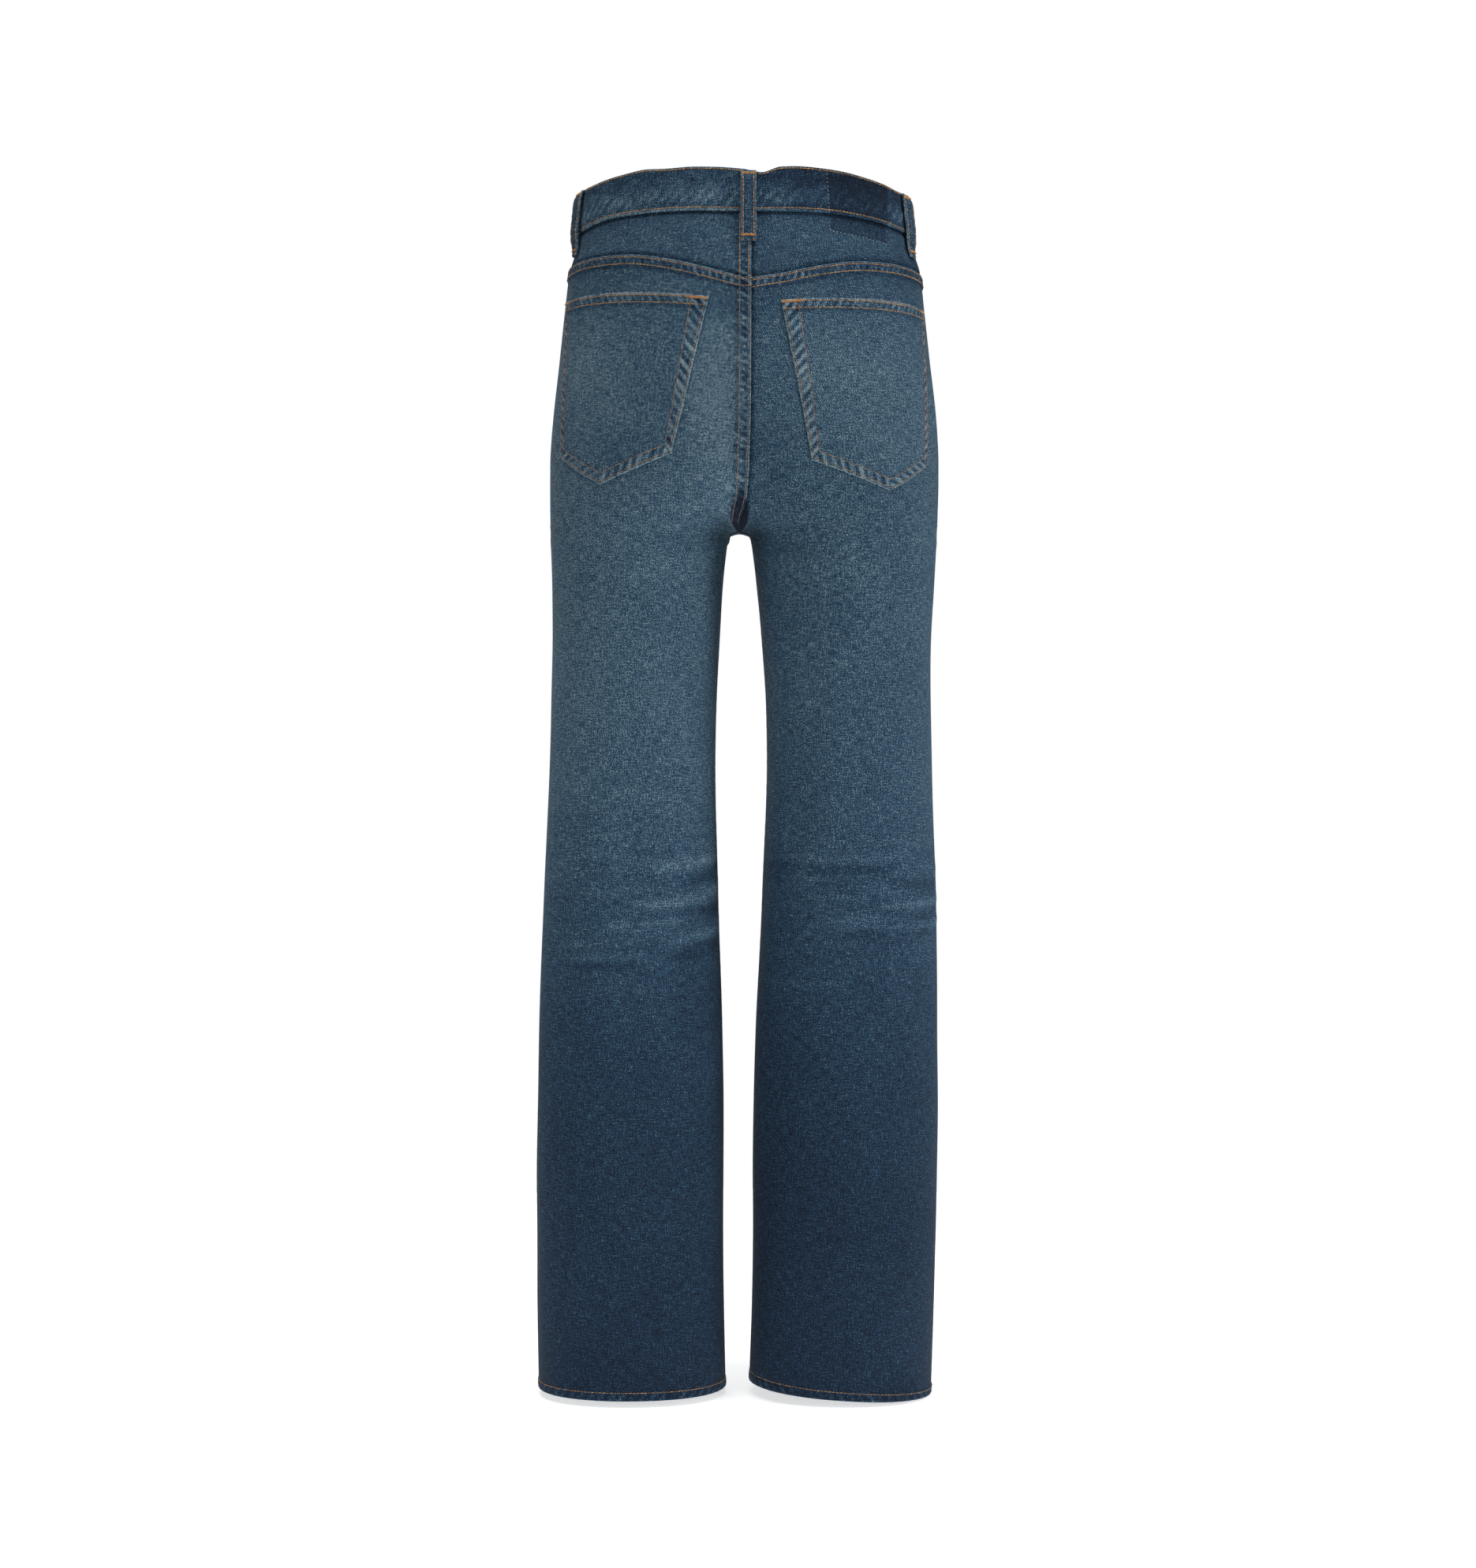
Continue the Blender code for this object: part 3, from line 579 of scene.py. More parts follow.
# %% Seam lines
LAP_BACK, LAP_FLY, LAP_FADE = 5.5, 5.0, 22.0
FLY_BOTTOM, FLY_FADE = -200.0, 20.0
INSEAM_FORWARD, INSEAM_FADE = 7.0, 70.0
SCOOP_WIDE, SCOOP_BOTTOM = 78.0, -116.0
SEAM_GAP, TUCK = 0.15, 2.0  # between sewn edges, and how far a covered edge runs on under the other
UNDER_BAND = 1.6  # how far the panels' edges sink where the waistband covers them
BAND_COVER = 7.0  # how far they run up under it


def inseam_shift(height):
    return INSEAM_FORWARD * ease((CROTCH - height) / INSEAM_FADE)


def back_edge(side, height):
    """Arc of a back panel's inner edge: the seat seam, then the inseam."""
    return -side * LAP_BACK * ease((height - CROTCH) / LAP_FADE) - inseam_shift(height)


def front_edge(side, height):
    """Arc of a front panel's inner edge: the fly, then the inseam."""
    return full_arc(height) + side * LAP_FLY * ease((height - FLY_BOTTOM) / FLY_FADE) - inseam_shift(height)


def upright(edge, high, low):
    """A seam line down from one height to another, along an edge."""
    heights = np.linspace(high, low, max(int((high - low) / 4), 8))
    return np.stack([edge(heights), heights], -1)


def across(side, table, start, end):
    """A seam line round from one arc to another, along one of the tables."""
    arcs = np.linspace(start, end, max(int(abs(end - start) / 4), 8))
    return np.stack([arcs, line(table, side, arcs)], -1)


def scoop(side):
    """The front pocket's mouth, from the outseam up to the waistband."""
    turn = np.linspace(0, math.pi / 2, 60)
    heights = np.full(60, SCOOP_BOTTOM)
    for _ in range(4):
        arcs = outseam(heights) + SCOOP_WIDE * np.sin(turn)
        heights = SCOOP_BOTTOM + (line(WAIST_SEAM, side, arcs) - SCOOP_BOTTOM) * (1 - np.cos(turn))
    return np.stack([arcs, heights], -1)


def near(path, arc, height):
    """Each spot's distance from a seam line, below 0 if it is past it, and how far along it is."""
    start, step = path[:-1], np.diff(path, axis=0)
    length = np.hypot(*step.T)
    before = np.concatenate([[0], np.cumsum(length)[:-1]])
    distance, run = np.empty(arc.shape), np.empty(arc.shape)
    for row in range(len(arc)):
        gap = np.stack([arc[row], height[row]], -1)[:, None] - start
        share = np.clip((gap * step).sum(-1) / length**2, 0, 1)
        off = np.linalg.norm(gap - share[..., None] * step, axis=-1)
        best = off.argmin(-1)
        pick = (np.arange(len(best)), best)
        turn = np.sign(step[:, 0] * gap[..., 1] - step[:, 1] * gap[..., 0])
        distance[row], run[row] = (off * turn)[pick], before[best] + share[pick] * length[best]
    return distance * np.sign(np.median(distance)), run


# %% What each kind of seam does to the cloth
ROWS = (2.1, 8.0)  # a lapped seam's two rows of stitches, from its folded edge
HEM_ROW = 6.9  # a hem's one row
RIDGE = 1.25


def lapped(distance, run, seed, rows=ROWS, ridge=RIDGE):
    """The upper side of a lapped seam: a raised band with a pale edge, roped between its rows."""
    last = rows[-1]
    band = ease((last + 2.4 - distance) / 2.2)
    between = bell((distance - last * 0.6) / (last * 0.42))
    wave = rope(run + 0.5 * distance, 6.2, seed)
    spread = np.exp(-np.maximum(distance - last, 0) / 6) * ease((distance - last) / 2)
    lift = ridge * band - 0.75 * np.clip(1 - distance / 1.1, 0, 1) ** 2
    lift = lift + 0.42 * wave * between + 0.28 * wave * spread
    for row in rows:
        lift = lift - 0.28 * bell((distance - row) / 0.7)
    fade = 0.34 * bell(distance / 0.95) + (0.38 * wave - 0.06) * between + 0.12 * wave * spread
    return lift, fade - 0.09 * bell((distance - last - 2.2) / 1.6)


def tucked(distance, run, seed, sink=1.45):
    """The lower side of a lapped seam, which dips under the other and is darker beside it: partly unworn
    cloth, partly painted shadow of the fold's edge.
    """
    past, distance = np.clip(-distance, 0, TUCK), np.maximum(distance, 0)
    wave = rope(run, 8.0, seed) * np.exp(-distance / 7)
    lift = -sink * ease(1 - distance / 4.2) - 0.2 * past + 0.22 * wave
    # the darker fade beside the seam is partly unworn cloth and partly painted shadow of the lapping edge
    return lift, -0.14 * np.exp(-distance / 3.0) + 0.06 * wave


def pressed(distance, run, seed):
    """A seam pressed open: a shallow valley, and a pale line where its allowance ends."""
    wave = rope(run, 11.0, seed)
    edge = bell((distance - 13.0) / 1.6)
    lift = -0.55 * bell(distance / 1.3) + (0.22 + 0.12 * wave) * edge - 1.5 * ease(0.2 - distance)
    return lift, -0.08 * bell(distance / 1.5) + (0.09 + 0.05 * wave) * edge


def hemmed(distance, run, seed):
    """A narrow hem, whose turned-up cloth twists under its one row of stitches."""
    wave = rope(run + 0.7 * distance, 8.6, seed)
    band = ease((HEM_ROW + 0.8 - distance) / 1.4)
    above = np.exp(-np.maximum(distance - HEM_ROW, 0) / 9) * (1 - band)
    lift = 0.55 * band - 0.6 * np.clip(1 - distance / 1.2, 0, 1) ** 2 + 0.32 * wave * (band + 0.8 * above)
    lift = lift - 0.3 * bell((distance - HEM_ROW) / 0.7)
    return lift, 0.16 * bell(distance / 1.0) + 0.32 * wave * band + 0.07 * wave * above - 0.05 * above


# %% [markdown]
# ## Denim
#
# Denim is a cotton twill: indigo-dyed warp over white weft, so its face shows fine diagonal lines
# rising to the right. Uneven yarn (slub) gives short upright and level streaks, and stone-washing
# takes the dye off whatever stands proud. One number, the fade, picks the colour: it comes from
# the sheet's own attribute, and the yarn's pattern adds to it. The pattern is drawn on the
# sheet's UV map, which is its real size in metres, so it follows the cloth. Real twill lines are
# about 0.6 mm apart and real yarn is 0.5 mm wide, which would blur to nothing at this distance, so
# the lines are drawn 1.25 mm apart and the yarn 0.8 mm wide.

# %% Denim material
# Cotton: IOR about 1.5 but very rough, with a faint sheen of loose fibres.
COTTON_ROUGHNESS = 0.88
TWILL_PITCH, TWILL_ANGLE = 1.25, math.radians(33)
WAVE_SCALE = 0.314  # at which a wave texture repeats once in each unit


def grain(tree, uv, width, length, turn):
    """Coordinates in which a bit of cloth of this size in mm, turned from upright, is one unit."""
    inputs = {"Vector": uv, "Rotation": (0, 0, turn), "Scale": (width * MM, length * MM, 1)}
    return add(tree, "ShaderNodeMapping", inputs, vector_type="TEXTURE").outputs[0]


def yarn(tree, uv, width, length, turn=0.0):
    """Noise whose lumps are width across and length along, in mm, turned from upright."""
    inputs = {"Vector": grain(tree, uv, width, length, turn), "Scale": 1.0, "Detail": 1.0}
    return add(tree, "ShaderNodeTexNoise", inputs, noise_dimensions="2D").outputs["Fac"]


def denim(name, stops, contrast=1.0):
    """Cotton twill whose colour is picked by its fade from (fade, hex) stops."""

    def fill(tree):
        uv = add(tree, "ShaderNodeUVMap", uv_map="cloth").outputs[0]
        lines = {"Vector": grain(tree, uv, TWILL_PITCH, TWILL_PITCH, -TWILL_ANGLE), "Scale": WAVE_SCALE}
        lines |= {"Distortion": 1.2, "Detail": 1.0, "Detail Scale": 1.5}
        twill = add(tree, "ShaderNodeTexWave", lines).outputs["Fac"]
        flecks = yarn(tree, uv, 0.85, 1.15, -TWILL_ANGLE)
        patterns = (
            (twill, 0.28),
            (yarn(tree, uv, 0.8, 8.0), 0.50),  # warp
            (yarn(tree, uv, 9.0, 0.8), 0.52),  # weft
            (flecks, 1.20),
            (yarn(tree, uv, 3.0, 4.0), 0.16),  # clouds
        )
        total = add(tree, "ShaderNodeAttribute", attribute_name="fade").outputs["Fac"]
        for pattern, amount in patterns:
            amount *= contrast
            total = maths(tree, "ADD", total, maths(tree, "MULTIPLY_ADD", pattern, amount, -amount / 2))
        ramp = add(tree, "ShaderNodeValToRGB", {"Fac": total})
        for at, _ in stops[1:-1]:
            ramp.color_ramp.elements.new(at)
        for element, (at, code) in zip(ramp.color_ramp.elements, stops):
            element.position, element.color = at, colour(code)
        raised = maths(tree, "ADD", twill, flecks)
        dents = add(tree, "ShaderNodeBump", {"Height": raised, "Strength": 0.35, "Distance": 0.4 * MM})
        return {
            "Base Color": ramp.outputs["Color"],
            "Normal": dents.outputs[0],
            "Roughness": COTTON_ROUGHNESS,
            "IOR": 1.5,
            "Specular IOR Level": 0.2,
            "Sheen Weight": 0.05,
            "Sheen Roughness": 0.5,
            "Sheen Tint": colour("#c9d6de"),
        }

    return material(name, fill)


INDIGO = ((0.0, "#0d1726"), (0.3, "#1b324a"), (0.52, "#325069"), (0.72, "#496b80"), (1.0, "#9ab0b7"))
UNDYED = ((0.0, "#5d6d7b"), (0.5, "#8494a0"), (1.0, "#b4bfc5"))
DENIM = denim("stonewashed_indigo_denim", INDIGO)
REVERSE = denim("denim_reverse", UNDYED, 1.3)  # mostly undyed weft, so pale and flecked
print("materials:", DENIM.name, REVERSE.name)

# %% [markdown]
# ## Sheets
#
# A panel is a grid of (arc, height) spots with its points close together along the sewn edges,
# where folds are a millimetre wide, and further apart in between. The grid is moved out by the
# drape and by its seams, and a Solidify modifier gives it the thickness of the cloth.

# %% From a grid of spots to cloth
CLOTH, BAND_CLOTH = 1.2, 2.4  # thickness, single and doubled
EDGE_STEPS = np.array([0, 0.5, 1.0, 1.6, 2.3, 3.1, 4.0, 5.0, 6.1, 7.2, 8.2, 9.3, 10.6, 12.2, 14.0])
STEP = 2.9 * COARSE
CROTCH_FLAT = 8.0  # seams flatten this far from where four of them meet
skins = {}  # each piece's outer face, for sewing on it
pieces = {}
cuts = {}  # each sheet's width, length and area as cut, in metres


def settled(thing, name):
    """Turns an object with modifiers into a plain mesh object."""
    graph = bpy.context.evaluated_depsgraph_get()
    shown = thing.evaluated_get(graph)
    mesh = bpy.data.meshes.new_from_object(shown, preserve_all_data_layers=True, depsgraph=graph)
    bpy.data.objects.remove(thing)
    mesh.name = name
    return show(name, mesh)


def skin(mesh):
    return BVHTree.FromPolygons([v.co[:] for v in mesh.vertices], [p.vertices[:] for p in mesh.polygons])


def set_fade(mesh, fade):
    data = mesh.attributes.new("fade", "FLOAT", "POINT").data
    data.foreach_set("value", np.ascontiguousarray(fade, np.float32).ravel())


def grid_mesh(name, points, uv, fade):
    """A mesh through a grid of points in mm, with its UV map and its fade."""
    rows, columns = points.shape[:2]
    number = np.arange(rows * columns).reshape(rows, columns)
    corners = number[:-1, :-1], number[:-1, 1:], number[1:, 1:], number[1:, :-1]
    quads = np.stack(corners, -1).reshape(-1, 4)
    mesh = bpy.data.meshes.new(name)
    mesh.from_pydata((points.reshape(-1, 3) * MM).tolist(), [], quads.tolist())
    mesh.uv_layers.new(name="cloth").data.foreach_set("uv", (uv.reshape(-1, 2)[quads.ravel()] * MM).ravel())
    set_fade(mesh, fade)
    mesh.shade_smooth()
    return mesh


def cloth(name, side, arcs, heights, seams=(), lift=0.0, fade=0.0, strip=None):
    """A sheet on the form through spots, with its seams: (line, kind of seam, seed).

    With its length given as strip it is a doubled strip, cut along the warp.
    """
    arcs, heights = np.broadcast_arrays(np.asarray(arcs, float), np.asarray(heights, float))
    lift, fade = lift + drape(side, arcs, heights), fade + wear_and_painted_light(side, arcs, heights)
    for path, kind, seed, *more in seams:
        distance, run = near(path, arcs, heights)
        distance = np.where(distance < -BAND_COVER - 1, -distance, distance)  # not past it, beyond its end
        raised, paler = kind(distance, run, seed, *more)
        if CROTCH in path[[0, -1], 1]:
            raised = raised * ease(np.abs(heights - CROTCH) / CROTCH_FLAT)
        lift, fade = lift + raised, fade + paler
    points, normals = place(side, arcs, heights, lift, with_normals=True)
    uv = (heights, side * arcs) if strip else (-side * (arcs - outseam(heights)), heights)
    mesh = grid_mesh(name, points, np.stack(uv, -1), np.clip(fade, 0, 1))
    middle = len(mesh.polygons) // 2
    spot = divmod(middle, points.shape[1] - 1)
    if Vector(normals[spot]).dot(mesh.polygons[middle].normal) < 0:
        mesh.flip_normals()
    for finish in (DENIM, DENIM if strip else REVERSE):
        mesh.materials.append(finish)
    skins[name] = skin(mesh)
    area = sum(p.area for p in mesh.polygons)
    wide = (strip or float(np.ptp(arcs, axis=1).max())) * MM
    cuts[name] = wide, max(float(np.ptp(heights, axis=0).max()) * MM, area / wide), area
    flat = show(name + "_sheet", mesh)
    solid = flat.modifiers.new("thickness", "SOLIDIFY")
    solid.thickness, solid.offset, solid.material_offset = (BAND_CLOTH if strip else CLOTH) * MM, -1, 1
    made = pieces[name] = settled(flat, name)
    print(f"{name}: {arcs.size} spots, {len(made.data.polygons)} faces")


def spaced(length, step=STEP):
    """Distances from 0 to length, close together at both ends."""
    end = EDGE_STEPS[-1]
    count = max(math.ceil((length - 2 * end) / step), 1)
    middle = np.linspace(end, length - end, count + 1)[1:-1]
    return np.concatenate([EDGE_STEPS, middle, length - EDGE_STEPS[::-1]])


# %% Columns and rows of a leg panel
OUTER_SHARE = 0.72  # of a panel's usual width that keeps even columns where the crotch widens it


def column_plan(width, outer_count, inner_count):
    """Each column's weight between a panel's outer and inner edges, and its offset inwards."""
    end, fixed = EDGE_STEPS[-1], OUTER_SHARE * width
    even = np.linspace(end, fixed, outer_count + 1)[1:]
    t = np.linspace(0, 1, inner_count + 2)[1:-1]
    sides = len(EDGE_STEPS)
    weight = np.concatenate([np.zeros(sides + outer_count), t, np.ones(sides)])
    return weight, np.concatenate([EDGE_STEPS, even, fixed * (1 - t) - end * t, -EDGE_STEPS[::-1]])


def spots(rows):
    """Arcs and heights of a grid's rows. A row is its two edges, its plan and its height at an arc."""
    grid = []
    for edges, (weight, offset), height_at in rows:
        height = np.full(len(weight), -70.0)
        for _ in range(6):
            outer, inner = edges(height)
            arc = outer * (1 - weight) + inner * weight + np.sign(inner - outer) * offset
            height = np.broadcast_to(height_at(arc), arc.shape)
        grid.append((arc, height))
    return np.array(grid).transpose(1, 0, 2)


def stepped(*stretches):
    """Heights down through stretches of (start, end, step)."""
    parts = [np.linspace(a, b, math.ceil(abs(a - b) / (step * COARSE)) + 1)[:-1] for a, b, step in stretches]
    return np.concatenate([*parts, [stretches[-1][1]]])


TOP_ROW = -146.0  # the first level row, under a panel's slanting top
LEG_HEIGHTS = np.concatenate(
    [
        stepped((TOP_ROW, -250, 3.0), (-250, -284, 2.4), (-284, -291, 1.0)),
        CROTCH + np.array([2.6, 1.9, 1.3, 0.8, 0.45, 0.2, 0.06, 0.0, -0.3, -0.9, -1.8, -3.0]),
        stepped((-299, -306, 1.8), (-306, -500, 4.0), (-500, -700, 2.7), (-700, -LENGTH + 14, 4.5)),
        -LENGTH + EDGE_STEPS[-2::-1],
    ]
)
HEM_ROW_HEIGHT = -LENGTH + HEM_ROW
hem_line = np.array([[-60.0, -LENGTH], [700.0, -LENGTH]])
print(len(LEG_HEIGHTS), "level rows on a leg")


# %% [markdown]
# ## Back legs and yokes
#
# The yoke is the V-shaped piece under the waistband, which shapes the seat. Each back leg laps up
# over it, and at the centre back the wearer's left side laps over the right.

# %% Back legs and yokes
sewn = []  # rows of stitches: (piece, side, line)
SEAT_ROWS = (2.0, 9.4)


def beside(path, distance):
    """A line moved sideways, to its left as it runs."""
    step = np.gradient(path, axis=0)
    step /= np.linalg.norm(step, axis=1, keepdims=True)
    return path + distance * np.stack([-step[:, 1], step[:, 0]], -1)


def level_row(height):
    """A row's height at an arc, which is the same all along it."""
    return lambda arc: height


def part_way(start, end, share):
    """A row's height at an arc, at a share of the way from one line to another."""
    return lambda arc: start(arc) + (end(arc) - start(arc)) * share


BACK_WIDTH, YOKE_DEEP = 242.0, 36.0
back_plan = column_plan(BACK_WIDTH, round(54 / COARSE), round(24 / COARSE))
for side, which in ((1, "left"), (-1, "right")):
    under = TUCK if side < 0 else 0.0  # the right side runs on under the left
    seat = upright(lambda h: back_edge(side, h), 10.0, CROTCH)
    inseam = upright(lambda h: back_edge(side, h), CROTCH, -LENGTH)
    outer_seam = upright(outseam, -20.0, -LENGTH)
    yoke_line = across(side, YOKE_SEAM, -12.0, 262.0)
    waist_line = across(side, WAIST_SEAM, -24.0, 300.0)
    seat_seam = (seat, lapped, 11, SEAT_ROWS) if side > 0 else (seat, tucked, 11)

    def edges(height):
        past = under * ease((height - CROTCH) / 6) + TUCK * ease((CROTCH - height) / 12)
        return outseam(height) + TUCK, back_edge(side, height) - past

    def leg_top(arc, step=0.0):
        return line(YOKE_SEAM, side, arc) - step

    def yoke_top(arc):
        return line(WAIST_SEAM, side, arc)

    tops = [partial(leg_top, step=step) for step in EDGE_STEPS]
    between = np.linspace(0, 1, round(17 / COARSE))[1:-1]
    tops += [part_way(tops[-1], level_row(TOP_ROW), share) for share in between]
    tops += [level_row(height) for height in LEG_HEIGHTS]
    arcs, heights = spots([(edges, back_plan, top) for top in tops])
    seams = [
        seat_seam,
        (inseam, pressed, 12 + side),
        (outer_seam, pressed, 14 + side),
        (yoke_line, lapped, 16 + side),
        (hem_line, hemmed, 18 + side),
    ]
    name = f"cloth_back_{which}"
    cloth(name, side, arcs, heights, seams)
    sewn += [(name, side, beside(yoke_line, -row)) for row in ROWS]
    sewn.append((name, side, np.array([[-6.0, HEM_ROW_HEIGHT], [float(outseam(-LENGTH)), HEM_ROW_HEIGHT]])))
    if side > 0:
        for row in SEAT_ROWS:
            sewn.append((name, side, upright(lambda h: back_edge(1, h) + row, -97.0, CROTCH + 4)))
            sewn.append(("cloth_yoke_left", side, upright(lambda h: back_edge(1, h) + row, -40.0, -94.0)))

    across_yoke = spaced(YOKE_DEEP, 2.4 * COARSE) / YOKE_DEEP
    shares = [-TUCK / YOKE_DEEP, *across_yoke, 1 + BAND_COVER / YOKE_DEEP]
    arcs, heights = spots([(edges, back_plan, part_way(leg_top, yoke_top, share)) for share in shares])
    seams = [
        seat_seam,
        (yoke_line, tucked, 21 + side),
        (waist_line, tucked, 25 + side, UNDER_BAND),
        (outer_seam, pressed, 14 + side),
    ]
    cloth(f"cloth_yoke_{which}", side, arcs, heights, seams)

# %% [markdown]
# ## Fronts and pocket facings
#
# The photograph doesn't show the front, so it is finished as plain jeans are: a scooped mouth to
# each hip pocket, with denim facing showing in it, and a fly whose left side laps over the right.

# %% Fronts
FLY_ROWS = (36.0, 42.5)  # the fly's two curved rows, from its edge
MOUTH_ROWS = (2.0, 8.0)


def folded(distance, run, seed, ridge=0.7):
    """A folded edge that no row holds down near its end."""
    wave = rope(run, 14.0, seed)
    lift = ridge * ease((12 - distance) / 10) - 0.8 * np.clip(1 - distance / 1.2, 0, 1) ** 2
    return lift + 0.15 * wave * np.exp(-np.abs(distance) / 12), 0.26 * bell(distance / 1.1) + 0.05 * wave


def mouth(distance, run, seed):
    return lapped(distance, run, seed, MOUTH_ROWS, 0.55)


def fly_row(across):
    """One of the fly's curved rows: straight down, then round to the seam below the fly."""
    turn = np.linspace(0, math.pi / 2, 24)
    start = np.linspace(-52.0, FLY_BOTTOM + across + 6, 30)
    down = np.stack([full_arc(start) + LAP_FLY - across, start], -1)
    heights = FLY_BOTTOM + 6 + across * (1 - np.sin(turn))
    curve = np.stack([full_arc(heights) + LAP_FLY - across * np.cos(turn), heights], -1)
    return np.concatenate([down, curve[1:]])


def rowed(distance, run, seed):
    """What a single row of stitches does to flat cloth."""
    wave = rope(run, 7.0, seed) * np.exp(-np.abs(distance) / 5)
    return -0.3 * bell(distance / 0.8) + 0.12 * wave, 0.05 * wave - 0.04 * bell(distance / 1.2)


FRONT_WIDTH = 206.0
MOUTH_CROWDING = 1.5  # the even columns give way to the mouth by this much of its cut, and never cross


def front_plan(cut=0.0):
    return column_plan(FRONT_WIDTH - MOUTH_CROWDING * cut, round(44 / COARSE), round(20 / COARSE))


swept = 1 - np.cos(np.linspace(0, math.pi / 2, round(26 / COARSE)))
mouth_shares = np.unique(np.concatenate([swept, 1 - EDGE_STEPS[:8] / 70]))[::-1]
below_mouth = np.concatenate([stepped((SCOOP_BOTTOM - 2, TOP_ROW, 3.0))[:-1], LEG_HEIGHTS])
for side, which in ((1, "left"), (-1, "right")):
    under = TUCK if side < 0 else 0.0
    fly = upright(lambda h: front_edge(side, h), 10.0, CROTCH)
    inseam = upright(lambda h: front_edge(side, h), CROTCH, -LENGTH)
    outer_seam = upright(outseam, SCOOP_BOTTOM, -LENGTH)
    mouth_line = scoop(side)
    waist_line = across(side, WAIST_SEAM, 200.0, 430.0)

    def edges(height, cut=0.0):
        past = under * ease((height - CROTCH) / 6)
        return outseam(height) + SEAM_GAP + cut, front_edge(side, height) + past

    def front_top(arc, cover=0.0):
        return line(WAIST_SEAM, side, arc) + cover

    rows = []
    for share in mouth_shares:
        cut = SCOOP_WIDE * math.sin(math.acos(1 - share))
        top = partial(front_top, cover=BAND_COVER * (share == 1))
        height_at = part_way(level_row(SCOOP_BOTTOM), top, share)
        rows.append((partial(edges, cut=cut), front_plan(cut), height_at))
    rows += [(edges, front_plan(), level_row(height)) for height in below_mouth]
    arcs, heights = spots(rows)
    seams = [
        (mouth_line, mouth, 31 + side),
        (waist_line, tucked, 33 + side, UNDER_BAND),
        (inseam, pressed, 35 + side),
        (outer_seam, pressed, 37 + side),
        (hem_line, hemmed, 39 + side),
    ]
    if side > 0:
        seams += [(fly[: len(fly) * 2 // 3], folded, 41), (fly[len(fly) * 2 // 3 :], lapped, 42)]
        seams += [(fly_row(across), rowed, 43) for across in FLY_ROWS]
    else:
        seams.append((fly, tucked, 44))
    name = f"cloth_front_{which}"
    cloth(name, side, arcs, heights, seams)
    hem_ends = float(outseam(-LENGTH)), full_arc(-LENGTH) - 8.0
    sewn.append((name, side, np.array([[arc, HEM_ROW_HEIGHT] for arc in hem_ends])))
    sewn += [(name, side, beside(mouth_line, -row)[:-2]) for row in MOUTH_ROWS]
    if side > 0:
        sewn += [(name, side, fly_row(across)) for across in FLY_ROWS]
        for row in ROWS:
            sewn.append((name, side, upright(lambda h: front_edge(1, h) - row, FLY_BOTTOM + 2, CROTCH + 4)))

# %% Pocket facings
FACING_BOTTOM, FACING_DEPTH, FACING_RISE, FACING_STEP = -132.0, 2.9, 15.0, 18.0
inset = np.concatenate([EDGE_STEPS, np.linspace(14, 94, round(32 / COARSE))[1:]])
share = np.concatenate([np.linspace(0, 1, round(34 / COARSE))[:-1], 1 - EDGE_STEPS[6::-1] / 90])
for side, which in ((1, "left"), (-1, "right")):
    heights = np.full((len(share), len(inset)), -80.0)
    for _ in range(4):
        arcs = outseam(heights) + SEAM_GAP + inset
        high = line(WAIST_SEAM, side, arcs) + BAND_COVER
        heights = FACING_BOTTOM + (high - FACING_BOTTOM) * share[:, None]
    below = ease((SCOOP_BOTTOM + FACING_STEP - heights) / FACING_STEP)
    depth = FACING_DEPTH * np.maximum(ease(inset / FACING_RISE) + 0 * heights, below)
    seams = [
        (upright(outseam, -20.0, SCOOP_BOTTOM - 20), pressed, 51 + side),
        (across(side, WAIST_SEAM, 190.0, 330.0), tucked, 53 + side, UNDER_BAND),
    ]
    cloth(f"cloth_facing_{which}", side, arcs, heights, seams, lift=-depth, fade=-0.12)

# %% [markdown]
# ## Waistband
#
# One strip, folded along its top edge and cut along the warp, so its twill runs the other way. It
# starts at the fly's left edge and runs round the back to the right one, which is behind the left.
# Its lower edge is folded under and stitched through, and twists a little: the twist has rubbed
# into slanting pale fingers.

# %% Waistband
BAND_LIFT, BAND_TAIL, BAND_SINK = 1.2, 42.0, 26.0
BAND_LOW_ROW, BAND_TOP_ROW, BAND_END_ROW = 3.3, 1.8, 2.5
BAND_DEEP = 39.0
girth = float(full_arc(0.0))
band_start, band_behind = -(girth + LAP_FLY), girth - LAP_FLY


def band_spot(travel, share):
    """Side, arc, height, and the lower and upper edges' heights, along and up the waistband."""
    side, arc = np.where(travel < 0, 1.0, -1.0), np.abs(travel)
    seen_side = np.where(arc <= girth, side, -side)
    seen_arc = np.where(arc <= girth, arc, 2 * girth - arc)
    low, high = line(WAIST_SEAM, seen_side, seen_arc), line(WAIST_EDGE, seen_side, seen_arc)
    height = low + (high - low) * share
    return side, arc * full_arc(height) / girth, height, low, high


length = band_behind + BAND_TAIL - band_start
columns, rows = spaced(length, 1.8 * COARSE), spaced(BAND_DEEP, 1.8 * COARSE)
travel, share = np.meshgrid(band_start + columns, rows / BAND_DEEP)
sides, arcs, heights, low, high = band_spot(travel, share)
up, down = heights - low, high - heights
sunk = (BAND_CLOTH + 2 * SEAM_GAP) * ease((travel - band_behind + BAND_SINK) / BAND_SINK)
twist = rope(travel - 0.8 * up, 9.5, 61)
pucker = rope(travel - 0.5 * up, 6.0, 62)
lower, upper = bell((up - 9) / 9), bell((down - 3) / 4)
lift = BAND_LIFT - sunk
lift = lift - 0.8 * np.clip(1 - up / 1.1, 0, 1) ** 2 - 0.8 * np.clip(1 - down / 1.3, 0, 1) ** 2
lift += 0.22 * twist * lower + 0.25 * pucker * bell((up - 2) / 3) + 0.1 * pucker * upper
